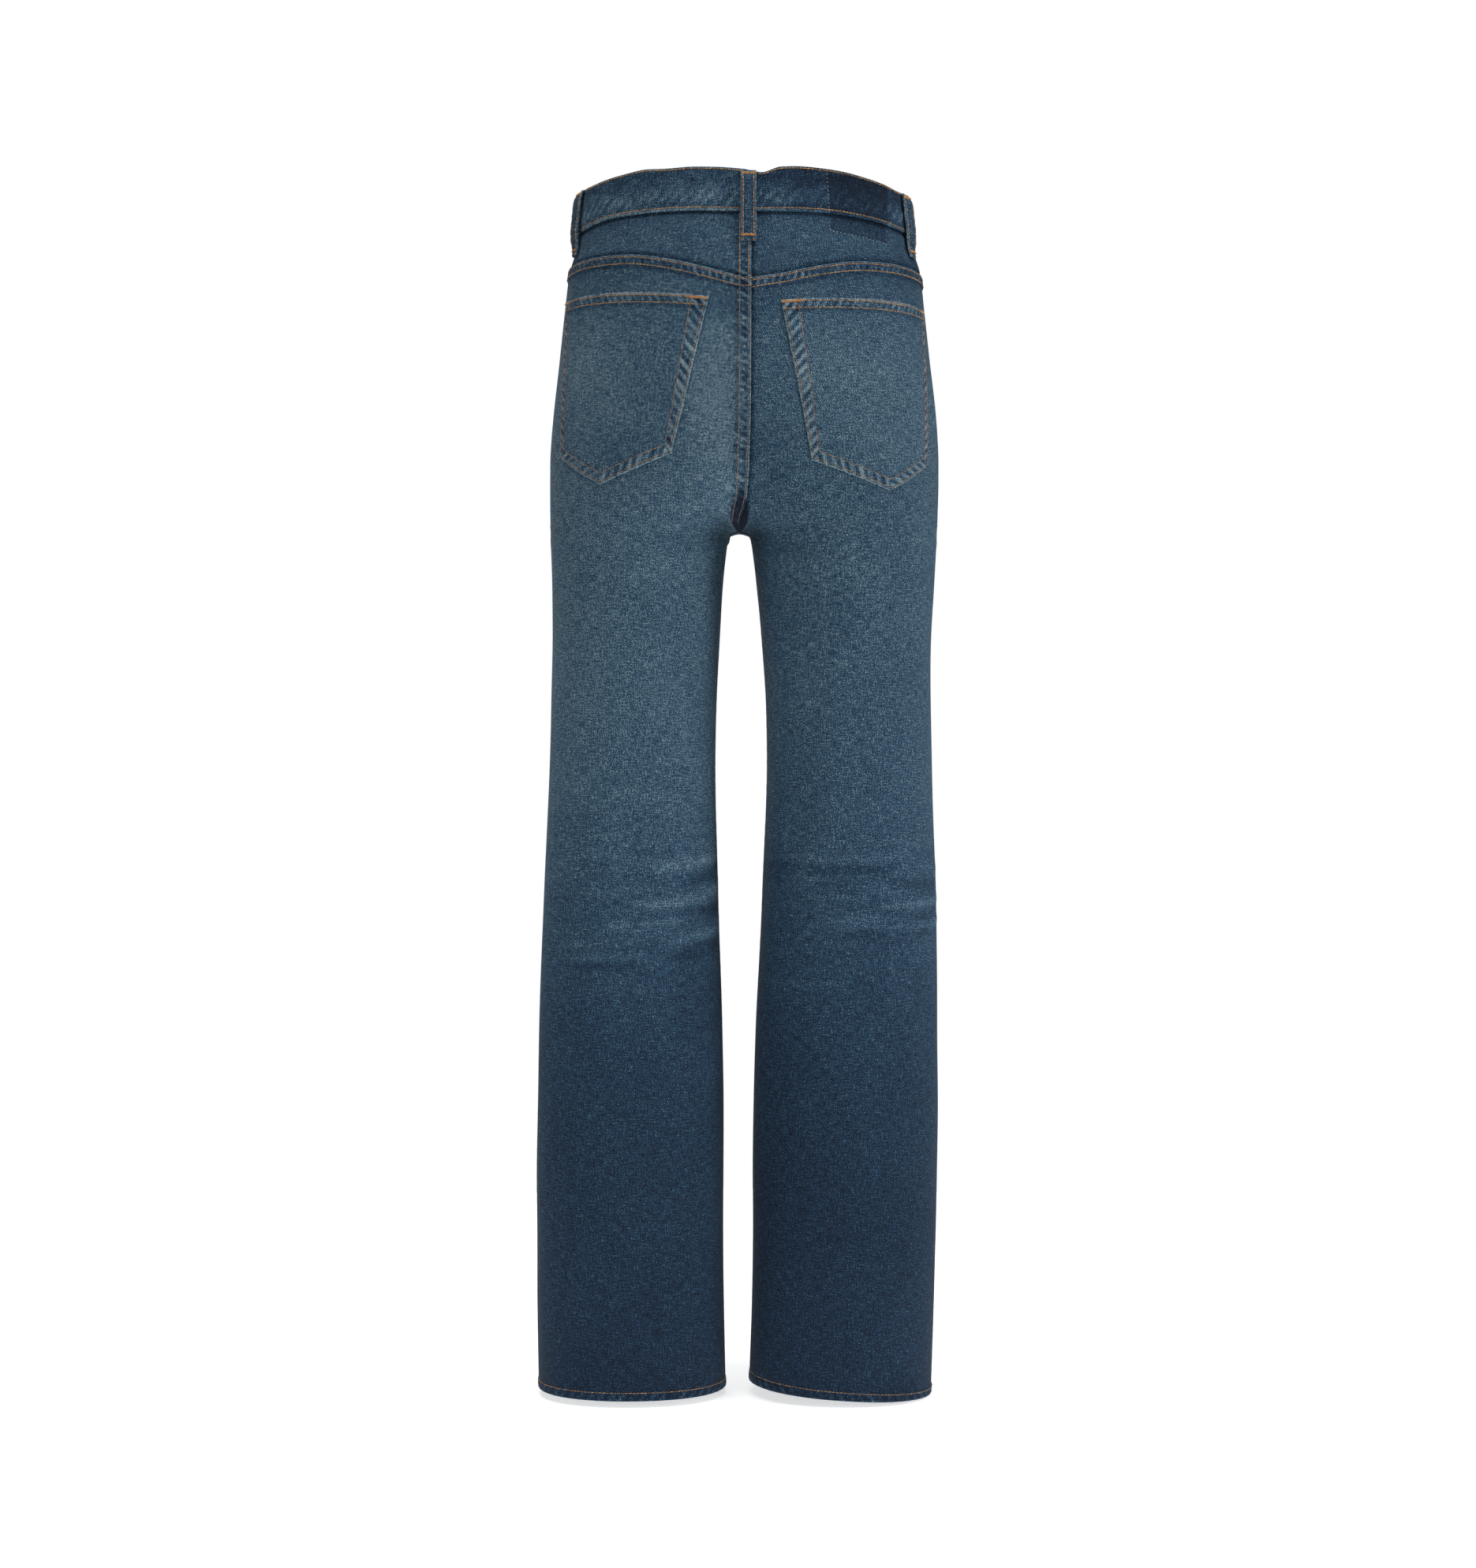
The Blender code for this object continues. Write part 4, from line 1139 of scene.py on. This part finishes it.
lift -= 0.3 * bell((up - BAND_LOW_ROW) / 0.8) + 0.25 * bell((down - BAND_TOP_ROW) / 0.7)
paler = 0.24 * bell((up - 1.3) / 1.3) + 0.2 * bell(down / 1.1) + (0.08 + 0.15 * twist) * bell((up - 12) / 8)
paler -= 0.10 * ease((up - 20) / 8) + 0.10 * ease(travel / 8) + 0.10 * ease((travel - 28) / 20) - 0.03
paler += 0.06 * pucker * bell((up - 2) / 3) - 0.05 * bell((up - 6) / 2)
paler += 0.10 * cloud(place(sides, arcs, heights), (9, 9, 5), 10)
cloth("cloth_waistband", sides, arcs, heights, lift=lift, fade=paler, strip=length)
round_band = np.arange(band_start + BAND_END_ROW, band_behind - 1, 2.0)
band_rows = [(round_band, share) for share in (BAND_LOW_ROW / BAND_DEEP, 1 - BAND_TOP_ROW / BAND_DEEP)]
band_rows.append((np.full(24, band_start + BAND_END_ROW), np.linspace(0.08, 0.93, 24)))
for row in band_rows:
    sides, arcs, heights, _, _ = band_spot(*row)
    sewn.append(("cloth_waistband", sides, np.stack([arcs, heights], -1)))

# %% [markdown]
# ## Back pockets
#
# A patch with a pointed lower edge, turned under all round. Two rows hold its sides, and they run
# apart towards the mouth on the inner side. The mouth is hemmed and gapes a little. The photograph
# shows the cloth between the rows in strong pale and dark ropes.

# %% Back pockets
POCKETS = {  # corners as (arc, height), from the inner top corner down, along and up to the outer one
    1: ((29, -112), (58.5, -241.5), (120, -265.5), (173, -238), (183, -102)),
    -1: ((29.5, -115), (56, -247), (124, -270.5), (171, -244.5), (180, -110)),
}
POCKET_CROWN, PATCH_LIFT = 1.5, 1.55
# How far each row is from the edge at the ends of the inner side, the two lower edges and the outer.
FIRST_ROW = ((2.4, 2.2), (2.2, 2.2), (2.2, 2.0), (1.8, 1.8))
SECOND_ROW = ((14.0, 6.5), (8.6, 8.6), (8.6, 8.0), (6.6, 5.4))
HEM_ROWS = (2.0, 7.9)


def inset_line(corners, insets):
    """A line inside a pocket's edge, at the distances given for both ends of each straight part."""
    lines = []
    for (a, b), (start, end) in zip(zip(corners, corners[1:]), insets):
        a, b = np.array(a), np.array(b)
        step = (b - a) / np.linalg.norm(b - a)
        normal = np.array([-step[1], step[0]])
        lines.append((a + normal * start, b + normal * end))
    points = [lines[0][0]]
    for (a, b), (c, d) in zip(lines, lines[1:]):
        t = np.linalg.solve(np.stack([b - a, c - d], -1), c - a)[0]
        points.append(a + (b - a) * t)
    return np.array([*points, lines[-1][1]])


def dense(path, step=2.0):
    """The same line with a point every few millimetres."""
    length = np.concatenate([[0], np.cumsum(np.hypot(*np.diff(path, axis=0).T))])
    at = np.linspace(0, length[-1], max(int(length[-1] / step), 2) + 1)
    return np.stack([np.interp(at, length, path[:, 0]), np.interp(at, length, path[:, 1])], -1)


def pocket_mouth(side, share):
    """The height of a pocket's top edge, which is crowned."""
    (_, inner), *_, (_, outer) = POCKETS[side]
    return inner + (outer - inner) * share + 4 * POCKET_CROWN * share * (1 - share)


POCKET_WIDE, POCKET_TALL, POCKET_STEP = 130.0, 138, 2.0 * COARSE  # a mean width and height
for side, which in ((1, "left"), (-1, "right")):
    top_inner, low_inner, tip, low_outer, top_outer = POCKETS[side]
    tip_share = (tip[0] - low_inner[0]) / (low_outer[0] - low_inner[0])
    edge_shares = EDGE_STEPS / POCKET_WIDE
    plain = np.arange(14.0, POCKET_WIDE - 14, POCKET_STEP)
    share = np.unique([*edge_shares, *plain / POCKET_WIDE, tip_share, *(1 - edge_shares)])
    plain = np.arange(16, POCKET_TALL - 14, POCKET_STEP)
    up = np.concatenate([EDGE_STEPS, plain, POCKET_TALL - EDGE_STEPS[::-1]]) / POCKET_TALL
    share, up = np.meshgrid(share, up)
    inner = low_inner[0] + (top_inner[0] - low_inner[0]) * up
    outer = low_outer[0] + (top_outer[0] - low_outer[0]) * up
    arcs = inner + (outer - inner) * share
    low = np.interp(share, [0, tip_share, 1], [low_inner[1], tip[1], low_outer[1]])
    heights = low + (pocket_mouth(side, share) - low) * up
    t = np.linspace(0, 1, 40)
    rim = np.stack([top_inner[0] + (top_outer[0] - top_inner[0]) * t, pocket_mouth(side, t)], -1)
    off, run = near(np.array(POCKETS[side]), arcs, heights)
    inside, _ = near(inset_line(POCKETS[side], SECOND_ROW), arcs, heights)
    drop, along_rim = near(rim, arcs, heights)
    off, drop = np.maximum(off, 0), np.maximum(drop, 0)
    sides_wave = rope(run + 0.8 * off, 8.2, 71 + side)
    rim_wave = rope(along_rim + 0.5 * drop, 6.4, 73 + side)
    band, hem_band = ease((0.9 - inside) / 1.8), ease((HEM_ROWS[1] + 0.9 - drop) / 1.8)
    lift = PATCH_LIFT + 0.5 * ease(off / 30) + 0.45 * np.maximum(band, hem_band)
    lift -= 0.75 * np.clip(1 - off / 1.1, 0, 1) ** 2
    lift += 0.9 * np.sin(math.pi * share) * np.exp(-drop / 26) - 0.6 * np.clip(1 - drop / 1.1, 0, 1) ** 2
    beyond = np.exp(-np.maximum(inside, 0) / 6) * (1 - band)
    lift += 0.3 * sides_wave * band * bell((off - 5) / 7) + 0.16 * sides_wave * beyond
    lift += 0.22 * rim_wave * hem_band - 0.25 * bell(inside / 0.7) - 0.25 * bell((drop - HEM_ROWS[1]) / 0.7)
    paler = 0.30 * bell(off / 1.0) + 0.28 * bell(drop / 1.0) + 0.34 * sides_wave * band * ease(off / 2)
    # painted shadow: the dark band just under the hem's lower row, below the gaping mouth
    paler += 0.28 * rim_wave * hem_band - 0.13 * bell((drop - HEM_ROWS[1] - 2.0) / 1.6) + 0.04 * band
    name = f"cloth_pocket_{which}"
    cloth(name, side, arcs, heights, lift=lift, fade=paler - 0.04 + (0.06 if side < 0 else 0.0))
    sewn += [(name, side, dense(inset_line(POCKETS[side], rows))) for rows in (FIRST_ROW, SECOND_ROW)]
    sewn += [(name, side, (rim - [0, row])[1:-1]) for row in HEM_ROWS]

# %% [markdown]
# ## Belt loops
#
# A strip of denim folded in three, with a row of stitches near each side. Its ends are turned
# under and tacked to the waistband's top and to the cloth below it, so it stands off in between.

# %% Belt loops
LOOP_WIDE, LOOP_CLOTH, LOOP_TOP = 13.0, 1.8, -1.2
LOOP_FLAT, LOOP_FOOT, LOOP_FADE, LOOP_PEAK = 1.35, 0.6, 8.0, 0.8
# Each loop's side, arc and length, how far it stands off, and how far its outer edge more so. The
# side loops have tipped outwards, so that their faces show from behind.
LOOPS = {
    "back": (-1, 3, 61, 3.5, 0),
    "side_left": (1, 160, 56, 3.2, 2.4),
    "side_right": (-1, 152, 55, 2.4, 3),
    "front_left": (1, 292, 58, 5, 0.6),
    "front_right": (-1, 288, 58, 5, -0.6),
}


def loop_spot(which, share, offset):
    """Arc, height and lift of a loop's underside, down its length and across it."""
    side, arc, length, tunnel, tip = LOOPS[which]
    height = line(WAIST_EDGE, side, arc) + LOOP_TOP - length * share
    bow = np.minimum(1.0, np.sin(math.pi * np.clip(share, 0, 1) ** LOOP_PEAK) * LOOP_FLAT)
    below = 1 - ease((height - line(WAIST_SEAM, side, arc) + LOOP_FADE / 2) / LOOP_FADE)
    lift = BAND_LIFT * (1 - LOOP_FOOT * below) + 2 * SEAM_GAP
    lift = lift + (tunnel + tip * offset / LOOP_WIDE) * ease(bow)
    return arc * full_arc(height) / girth + offset, height, lift


def mirrored(half, middle, sign=1):
    """Values right across a loop, from those of one half."""
    return np.array([*half, middle, *(sign * value for value in half[::-1])])


# A loop's section: across and up its upper face, then back under it, as shares of its thickness.
face_across = mirrored((-6.5, -6.3, -5.9, -5.2, -4.2, -3.0, -1.6), 0, -1)
face_rise = LOOP_CLOTH * mirrored((0.5, 0.74, 0.92, 1.0, 0.94, 1.02, 1.06), 1.04)
back_rise = LOOP_CLOTH * mirrored((0.2, 0.06, 0, 0, 0, 0), 0)
ring_across = np.concatenate([face_across, face_across[-2:0:-1]])
ring_rise = np.concatenate([face_rise, back_rise])
ring_run = np.concatenate([[0], np.cumsum(np.hypot(np.diff(ring_across), np.diff(ring_rise))), [28.5]])
end_steps = np.array([0, 0.25, 0.8, 1.6, 2.6]) / 60
loop_shares = np.concatenate([end_steps, np.linspace(0.06, 0.94, round(38 / COARSE)), 1 - end_steps[::-1]])
share, offset = np.meshgrid(loop_shares, ring_across, indexing="ij")
for which, (side, arc, length, *_) in LOOPS.items():
    around, height, lift = loop_spot(which, share, offset)
    wave = rope(share * length, 7.0, 80 + int(arc)) * 0.16
    from_end = np.minimum(share, 1 - share) * length
    thick = 0.55 + 0.45 * ease(from_end / 1.2)
    swell = 0.35 * ease((7 - from_end) / 2) * ring_rise / LOOP_CLOTH
    lift = lift + (ring_rise * thick) + wave * ease(from_end / 5) + swell
    points = place(side, around, height, lift + drape(side, around, height) * 0.8)
    rows, count = points.shape[:2]
    loop = bmesh.new()
    uv_layer = loop.loops.layers.uv.new("cloth")
    vertices = [[loop.verts.new(p) for p in row] for row in (points * MM).tolist()]
    for r, c in np.ndindex(rows - 1, count):
        corners = (r, c), (r, c + 1), (r + 1, c + 1), (r + 1, c)
        face = loop.faces.new([vertices[i][j % count] for i, j in corners])
        for corner, (i, j) in zip(face.loops, corners):
            u, v = 300 + 40 * side + ring_run[j], -loop_shares[i] * length
            corner[uv_layer].uv = (u * MM, v * MM)
    for end in (vertices[0], vertices[-1]):
        loop.faces.new(end)
    bmesh.ops.recalc_face_normals(loop, faces=loop.faces)
    name = f"cloth_loop_{which}"
    mesh = bpy.data.meshes.new(name)
    loop.to_mesh(mesh)
    loop.free()
    mesh.shade_smooth()
    mesh.materials.append(DENIM)
    edge = bell((np.abs(offset) - 5.9) / 0.9) * 0.30 + 0.08 * bell(offset / 2.0)
    ropes = rope(share * length, 5.5, 90 + int(arc)) * 0.10 * (np.abs(offset) > 3.5)
    set_fade(mesh, 0.39 + edge * (ring_rise > 0.4) + ropes + 0.16 * bell(from_end / 1.2))
    pieces[name], skins[name] = show(name, mesh), skin(mesh)
    for row in (-4.3, 4.3):
        around, height, _ = loop_spot(which, np.linspace(0.02, 0.98, 60), row)
        sewn.append((name, side, np.stack([around, height], -1)))
print(len(LOOPS), "loops of", len(mesh.polygons), "faces")

# %% [markdown]
# ## Stitches
#
# Every row is a line laid on its piece's face, and one Geometry Nodes tree puts short arched tubes
# of thread along it, which turn with the line and lie flat to the cloth. Tacks are the same tree
# with the stitches close together and turned across the line. The jeans need a few thousand
# stitches, so each one has few faces.

# %% Thread
# Core-spun polyester and cotton, dyed tan: matt, with a slight sheen along the twist. Real thread
# is 0.5 mm thick, and it is drawn 0.8 mm so that a row shows at this distance.
THREAD_ROUGHNESS = 0.62


def thread(name, dark, pale, roughness=THREAD_ROUGHNESS):
    """Twisted thread, from dark to pale by each stitch's own tone."""

    def fill(tree):
        spot = add(tree, "ShaderNodeTexCoord").outputs["Object"]
        noise = {"Vector": spot, "Scale": 1900.0, "Detail": 2.0}
        fuzz = add(tree, "ShaderNodeTexNoise", noise).outputs["Fac"]
        tone = add(tree, "ShaderNodeAttribute", attribute_name="tone").outputs["Fac"]
        total = maths(tree, "ADD", tone, maths(tree, "MULTIPLY_ADD", fuzz, 0.5, -0.25))
        ramp = add(tree, "ShaderNodeValToRGB", {"Fac": total})
        for element, code in zip(ramp.color_ramp.elements, (dark, pale)):
            element.color = colour(code)
        dents = add(tree, "ShaderNodeBump", {"Height": fuzz, "Strength": 0.4, "Distance": 0.1 * MM})
        inputs = {"Base Color": ramp.outputs[0], "Normal": dents.outputs[0], "Roughness": roughness}
        return inputs | {"IOR": 1.53, "Sheen Weight": 0.2, "Sheen Roughness": 0.4}

    return material(name, fill)


TOPSTITCH = thread("tan_topstitch_thread", "#86602f", "#d6a05c")
WORN_TOPSTITCH = thread("worn_topstitch_thread", "#5f4a35", "#a9825a")
TACK = thread("ochre_bar_tack_thread", "#a86f33", "#e4ac66")
COTTON = thread("frayed_white_cotton", "#8e9aa3", "#c9d0d3", 0.9)


# %% The tree of stitches
def stitch_tree():
    """Puts a stitch at every pitch along a mesh's lines, lying flat to its "up" attribute."""
    tree = bpy.data.node_groups.new("stitches_along_lines", "GeometryNodeTree")
    floats = ("Pitch", "Length", "Thickness", "Turn", "Unevenness")
    kinds = {"Geometry": "Geometry", **dict.fromkeys(floats, "Float"), "Seed": "Int", "Thread": "Material"}
    for name, kind in kinds.items():
        tree.interface.new_socket(name, in_out="INPUT", socket_type="NodeSocket" + kind)
    tree.interface.new_socket("Geometry", in_out="OUTPUT", socket_type="NodeSocketGeometry")
    given = add(tree, "NodeGroupInput").outputs

    def made(kind, inputs=None, output=0, **settings):
        return add(tree, kind, inputs, **settings).outputs[output]

    def times(name, factor):
        return maths(tree, "MULTIPLY", given[name], factor)

    def uneven(low, high):
        """An uneven value for each point or instance."""
        inputs = {2: low, 3: high, "Seed": given["Seed"]}
        return made("FunctionNodeRandomValue", inputs, 1, data_type="FLOAT")

    start, middle, end = (
        made("ShaderNodeCombineXYZ", {"X": times("Length", x), "Z": times("Thickness", z)})
        for x, z in ((-0.5, -0.5), (0.0, 0.8), (0.5, -0.5))
    )
    bend = {"Resolution": 4, "Start": start, "Middle": middle, "End": end}
    arch = made("GeometryNodeCurveQuadraticBezier", bend)
    section = made("GeometryNodeCurvePrimitiveCircle", {"Resolution": 5, "Radius": times("Thickness", 0.5)})
    tube = {"Curve": arch, "Profile Curve": section, "Fill Caps": True}
    stitch = made("GeometryNodeCurveToMesh", tube)
    lines = made("GeometryNodeMeshToCurve", {"Mesh": given["Geometry"]})
    points = made("GeometryNodeResampleCurve", {"Curve": lines, "Length": given["Pitch"]}, mode="LENGTH")
    forward = made("GeometryNodeInputTangent")
    up = made("GeometryNodeInputNamedAttribute", {"Name": "up"}, data_type="FLOAT_VECTOR")
    turn = made("FunctionNodeAlignRotationToVector", {"Vector": forward}, axis="X")
    inputs = {"Rotation": turn, "Vector": up}
    flat = made("FunctionNodeAlignRotationToVector", inputs, axis="Z", pivot_axis="X")
    sway = uneven(times("Unevenness", -1.0), given["Unevenness"])
    yaw = made("ShaderNodeCombineXYZ", {"Z": maths(tree, "ADD", sway, given["Turn"])})
    yaw = made("FunctionNodeEulerToRotation", {0: yaw})
    turned = made("FunctionNodeRotateRotation", {0: flat, 1: yaw}, rotation_space="LOCAL")
    inputs = {"Points": points, "Instance": stitch, "Rotation": turned}
    placed = made("GeometryNodeInstanceOnPoints", inputs)
    inputs = {"Geometry": placed, "Name": "tone", "Value": uneven(0.0, 1.0)}
    toned = made("GeometryNodeStoreNamedAttribute", inputs, data_type="FLOAT", domain="INSTANCE")
    real = made("GeometryNodeRealizeInstances", {"Geometry": toned})
    finished = made("GeometryNodeSetMaterial", {"Geometry": real, "Material": given["Thread"]})
    add(tree, "NodeGroupOutput", {"Geometry": finished})
    return tree


STITCHES = stitch_tree()
STITCH_FACES = 22  # four lengths of a five-sided tube, and its two ends
OUT = 26.0  # rows are dropped onto the cloth from this far out


def on_cloth(piece, side, path, rise):
    """Chains of points where a line lies on a piece's face, and the way up at each."""
    origins, normals = place(side, *path.T, OUT, with_normals=True)
    chains = [[]]
    for origin, normal in zip(origins * MM, normals):
        hit, _, _, _ = skins[piece].ray_cast(Vector(origin), Vector(-normal), 2 * OUT * MM)
        if hit is None:
            chains.append([])
        else:
            chains[-1].append((hit + Vector(normal) * rise * MM, normal))
    return [chain for chain in chains if len(chain) > 1]


def sew(name, rows, thread, seed, pitch=3.2, length=2.5, thickness=0.8, turn=0.0, uneven=5.0, rise=0.1):
    """One mesh of stitches along rows of (piece, side, line)."""
    points, ups, edges = [], [], []
    for row in rows:
        for chain in on_cloth(*row, rise):
            first = len(points)
            points += [point for point, _ in chain]
            ups += [normal for _, normal in chain]
            edges += [(i, i + 1) for i in range(first, len(points) - 1)]
    mesh = bpy.data.meshes.new(name + "_lines")
    mesh.from_pydata(points, edges, [])
    up = mesh.attributes.new("up", "FLOAT_VECTOR", "POINT").data
    up.foreach_set("vector", np.array(ups, np.float32).ravel())
    lines = show(name + "_lines", mesh)
    modifier = lines.modifiers.new("stitches", "NODES")
    modifier.node_group = STITCHES
    values = {
        "Pitch": pitch * MM,
        "Length": length * MM,
        "Thickness": thickness * MM,
        "Turn": math.radians(turn),
        "Unevenness": math.radians(uneven),
        "Seed": seed,
        "Thread": thread,
    }
    for item in STITCHES.interface.items_tree:
        if item.name in values and item.in_out == "INPUT":
            modifier[item.identifier] = values[item.name]
    made = pieces[name] = settled(lines, name)
    made.data.shade_smooth()
    faces = len(made.data.polygons)
    print(f"{name}: {faces // STITCH_FACES} stitches, {faces} faces")


# %% Rows of stitches
# Rows near the waist have kept their colour. Lower ones have worn to a duller brown.
WORN_BELOW = -130.0
sewn = [(piece, side, path if np.ndim(side) else dense(path)) for piece, side, path in sewn]
high_rows = [row for row in sewn if row[2][:, 1].mean() > WORN_BELOW]
low_rows = [row for row in sewn if row[2][:, 1].mean() <= WORN_BELOW]
sew("stitches_at_the_waist", high_rows, TOPSTITCH, seed=4)
sew("stitches_lower_down", low_rows, WORN_TOPSTITCH, seed=3)


# %% Bar tacks
def tack(piece, side, start, end):
    return piece, side, dense(np.array([start, end], float), 0.8)


tacks = []
for which, (side, _, length, *_) in LOOPS.items():
    for share in (3.0 / length, 1 - 4.5 / length):
        ends = [loop_spot(which, share, offset)[:2] for offset in (-5.6, 5.6)]
        tacks.append(tack(f"cloth_loop_{which}", side, *[(float(a), float(h)) for a, h in ends]))
for side, which in ((1, "left"), (-1, "right")):
    corners = (POCKETS[side][0], 17.0, 0.09), (POCKETS[side][-1], -8.0, -0.02)
    for (arc, height), inwards, slope in corners:
        start = np.array([arc + math.copysign(1.2, inwards), height - 2.0])
        tacks.append(tack(f"cloth_pocket_{which}", side, start, start + [inwards, abs(inwards) * slope]))
for spot in (fly_row(FLY_ROWS[0])[-1], fly_row(FLY_ROWS[0])[34]):
    tacks.append(tack("cloth_front_left", 1, spot + [-3, 2], spot + [3, -2]))
sew("bar_tacks", tacks, TACK, pitch=0.55, length=1.7, thickness=0.6, turn=90, uneven=9, seed=5, rise=0.4)

# %% [markdown]
# ## Worn threads
#
# The pockets' mouths and one belt loop have frayed: short ends of undyed cotton stand out along
# the fold. Where a patch once covered the waistband at the right the indigo is unfaded, and the
# needle holes of its seam show as pale dots.

# %% Frays and needle holes
frays = []
for side, name, start, end in ((1, "cloth_pocket_left", 0.1, 0.62), (-1, "cloth_pocket_right", 0.4, 0.8)):
    inner, outer = POCKETS[side][0][0], POCKETS[side][-1][0]
    t = np.linspace(start, end, 50)
    frays.append((name, side, np.stack([inner + (outer - inner) * t, pocket_mouth(side, t) - 0.7], -1)))
around, height, _ = loop_spot("side_left", np.linspace(0.1, 0.3, 20), -6.0)
frays.append(("cloth_loop_side_left", 1, np.stack([around, height], -1)))
sew("frayed_ends", frays, COTTON, pitch=1.3, length=2.6, thickness=0.26, turn=75, uneven=55, seed=6, rise=0.3)
on_band = dense(np.array([UNFADED[0], (70.8, -36.0)]))
on_yoke = dense(np.array([(71.3, -45.0), UNFADED[3], UNFADED[2]]))
holes = [("cloth_waistband", -1, on_band), ("cloth_yoke_right", -1, on_yoke)]
sew("needle_holes", holes, COTTON, pitch=3.3, length=0.9, thickness=0.55, uneven=30, seed=7, rise=0.05)

# %% [markdown]
# ## Waist button
#
# Jeans close with a hollow metal button on a stem that is hammered through the waistband. It is
# turned here from a profile: a rolled rim round a shallow dish with a raised ring.

# %% Waist button
BUTTON_ARC = 13.0  # from the front seam
PROFILE = (  # radius and height above the cloth
    (0.0, 0.0), (3.4, 0.0), (3.4, 1.2), (4.0, 1.4), (7.2, 1.4), (8.0, 1.7), (8.5, 2.4), (8.5, 3.4),
    (8.2, 4.1), (7.6, 4.5), (7.0, 4.6), (6.5, 4.45), (6.1, 4.15), (5.4, 4.05), (4.9, 4.2), (4.5, 4.3),
    (4.1, 4.2), (3.6, 4.0), (2.0, 3.9), (1.2, 4.0), (0.0, 4.05),
)  # fmt: skip


def worn_brass(tree):
    """Plated and tumbled: metallic, dull in its hollows, brighter where it has rubbed."""
    spot = add(tree, "ShaderNodeTexCoord").outputs["Object"]
    blotch = add(tree, "ShaderNodeTexNoise", {"Vector": spot, "Scale": 420.0, "Detail": 4.0}).outputs["Fac"]
    ramp = add(tree, "ShaderNodeValToRGB", {"Fac": blotch})
    for element, (at, code) in zip(ramp.color_ramp.elements, ((0.3, "#6b4a2c"), (0.7, "#c08f5a"))):
        element.position, element.color = at, colour(code)
    rough = add(tree, "ShaderNodeMapRange", {"Value": blotch, "To Min": 0.5, "To Max": 0.28})
    scratches = add(tree, "ShaderNodeBump", {"Height": blotch, "Strength": 0.15, "Distance": 0.1 * MM})
    inputs = {"Base Color": ramp.outputs[0], "Metallic": 1.0, "Roughness": rough.outputs[0]}
    return inputs | {"Normal": scratches.outputs[0]}


side, arc, height, _, _ = band_spot(np.array(-(girth - BUTTON_ARC)), 0.5)
seat_point, axis = place(side, arc, height, BAND_LIFT + 0.3, with_normals=True)
lathe = bmesh.new()
points = [lathe.verts.new((r * MM, 0, z * MM)) for r, z in PROFILE]
outline = [lathe.edges.new(pair) for pair in zip(points, points[1:])]
bmesh.ops.spin(lathe, geom=points + outline, cent=(0, 0, 0), axis=(0, 0, 1), angle=math.tau, steps=48)
bmesh.ops.remove_doubles(lathe, verts=lathe.verts, dist=0.005 * MM)
bmesh.ops.recalc_face_normals(lathe, faces=lathe.faces)
to_seat = Vector((0, 0, 1)).rotation_difference(Vector(axis)).to_matrix().to_4x4()
to_seat.translation = Vector(seat_point) * MM
lathe.transform(to_seat)
mesh = bpy.data.meshes.new("button")
lathe.to_mesh(mesh)
lathe.free()
mesh.shade_smooth()
mesh.materials.append(material("antiqued_brass", worn_brass))
pieces["button"] = show("button", mesh)
print("button:", len(mesh.polygons), "faces")

# %% [markdown]
# ## Bodies and cut sizes
#
# Each piece is attached to the body it moves with, and the CAD solids that the pieces stand for are
# hidden. The size that each sheet of cloth was cut to is printed.

# %% Bodies, hidden solids and cut sizes
SLOTS = {  # by the start of a piece's name
    "cloth_facing": "denim_dark",
    "cloth": "denim",
    "button": "brass",
    **dict.fromkeys(("stitches", "bar_tacks", "frayed", "needle"), "thread"),
}
for which, (_, _, length, *_) in LOOPS.items():
    cuts[f"cloth_loop_{which}"] = LOOP_WIDE * MM, length * MM, LOOP_WIDE * length * MM**2
for name, piece in pieces.items():
    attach(piece, "root")
    if name in cuts:
        wide, long, area = (round(float(value), 4) for value in cuts[name])
        area = min(area, wide * long)
        print(f"{name}: cut {1000 * wide:.0f} x {1000 * long:.0f} mm, {area:.4f} m2")

for which in ("left", "right"):
    for kind, node in (("back", "back"), ("front", "front"), ("yoke", "yoke")):
        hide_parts(f"{node}_{which}")
    for kind, node in (("pocket", "back_pocket"), ("facing", "pocket_facing")):
        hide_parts(f"{node}_{which}")
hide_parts("waistband")
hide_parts("waist_button")
for which in LOOPS:
    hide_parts(f"loop_{which}")
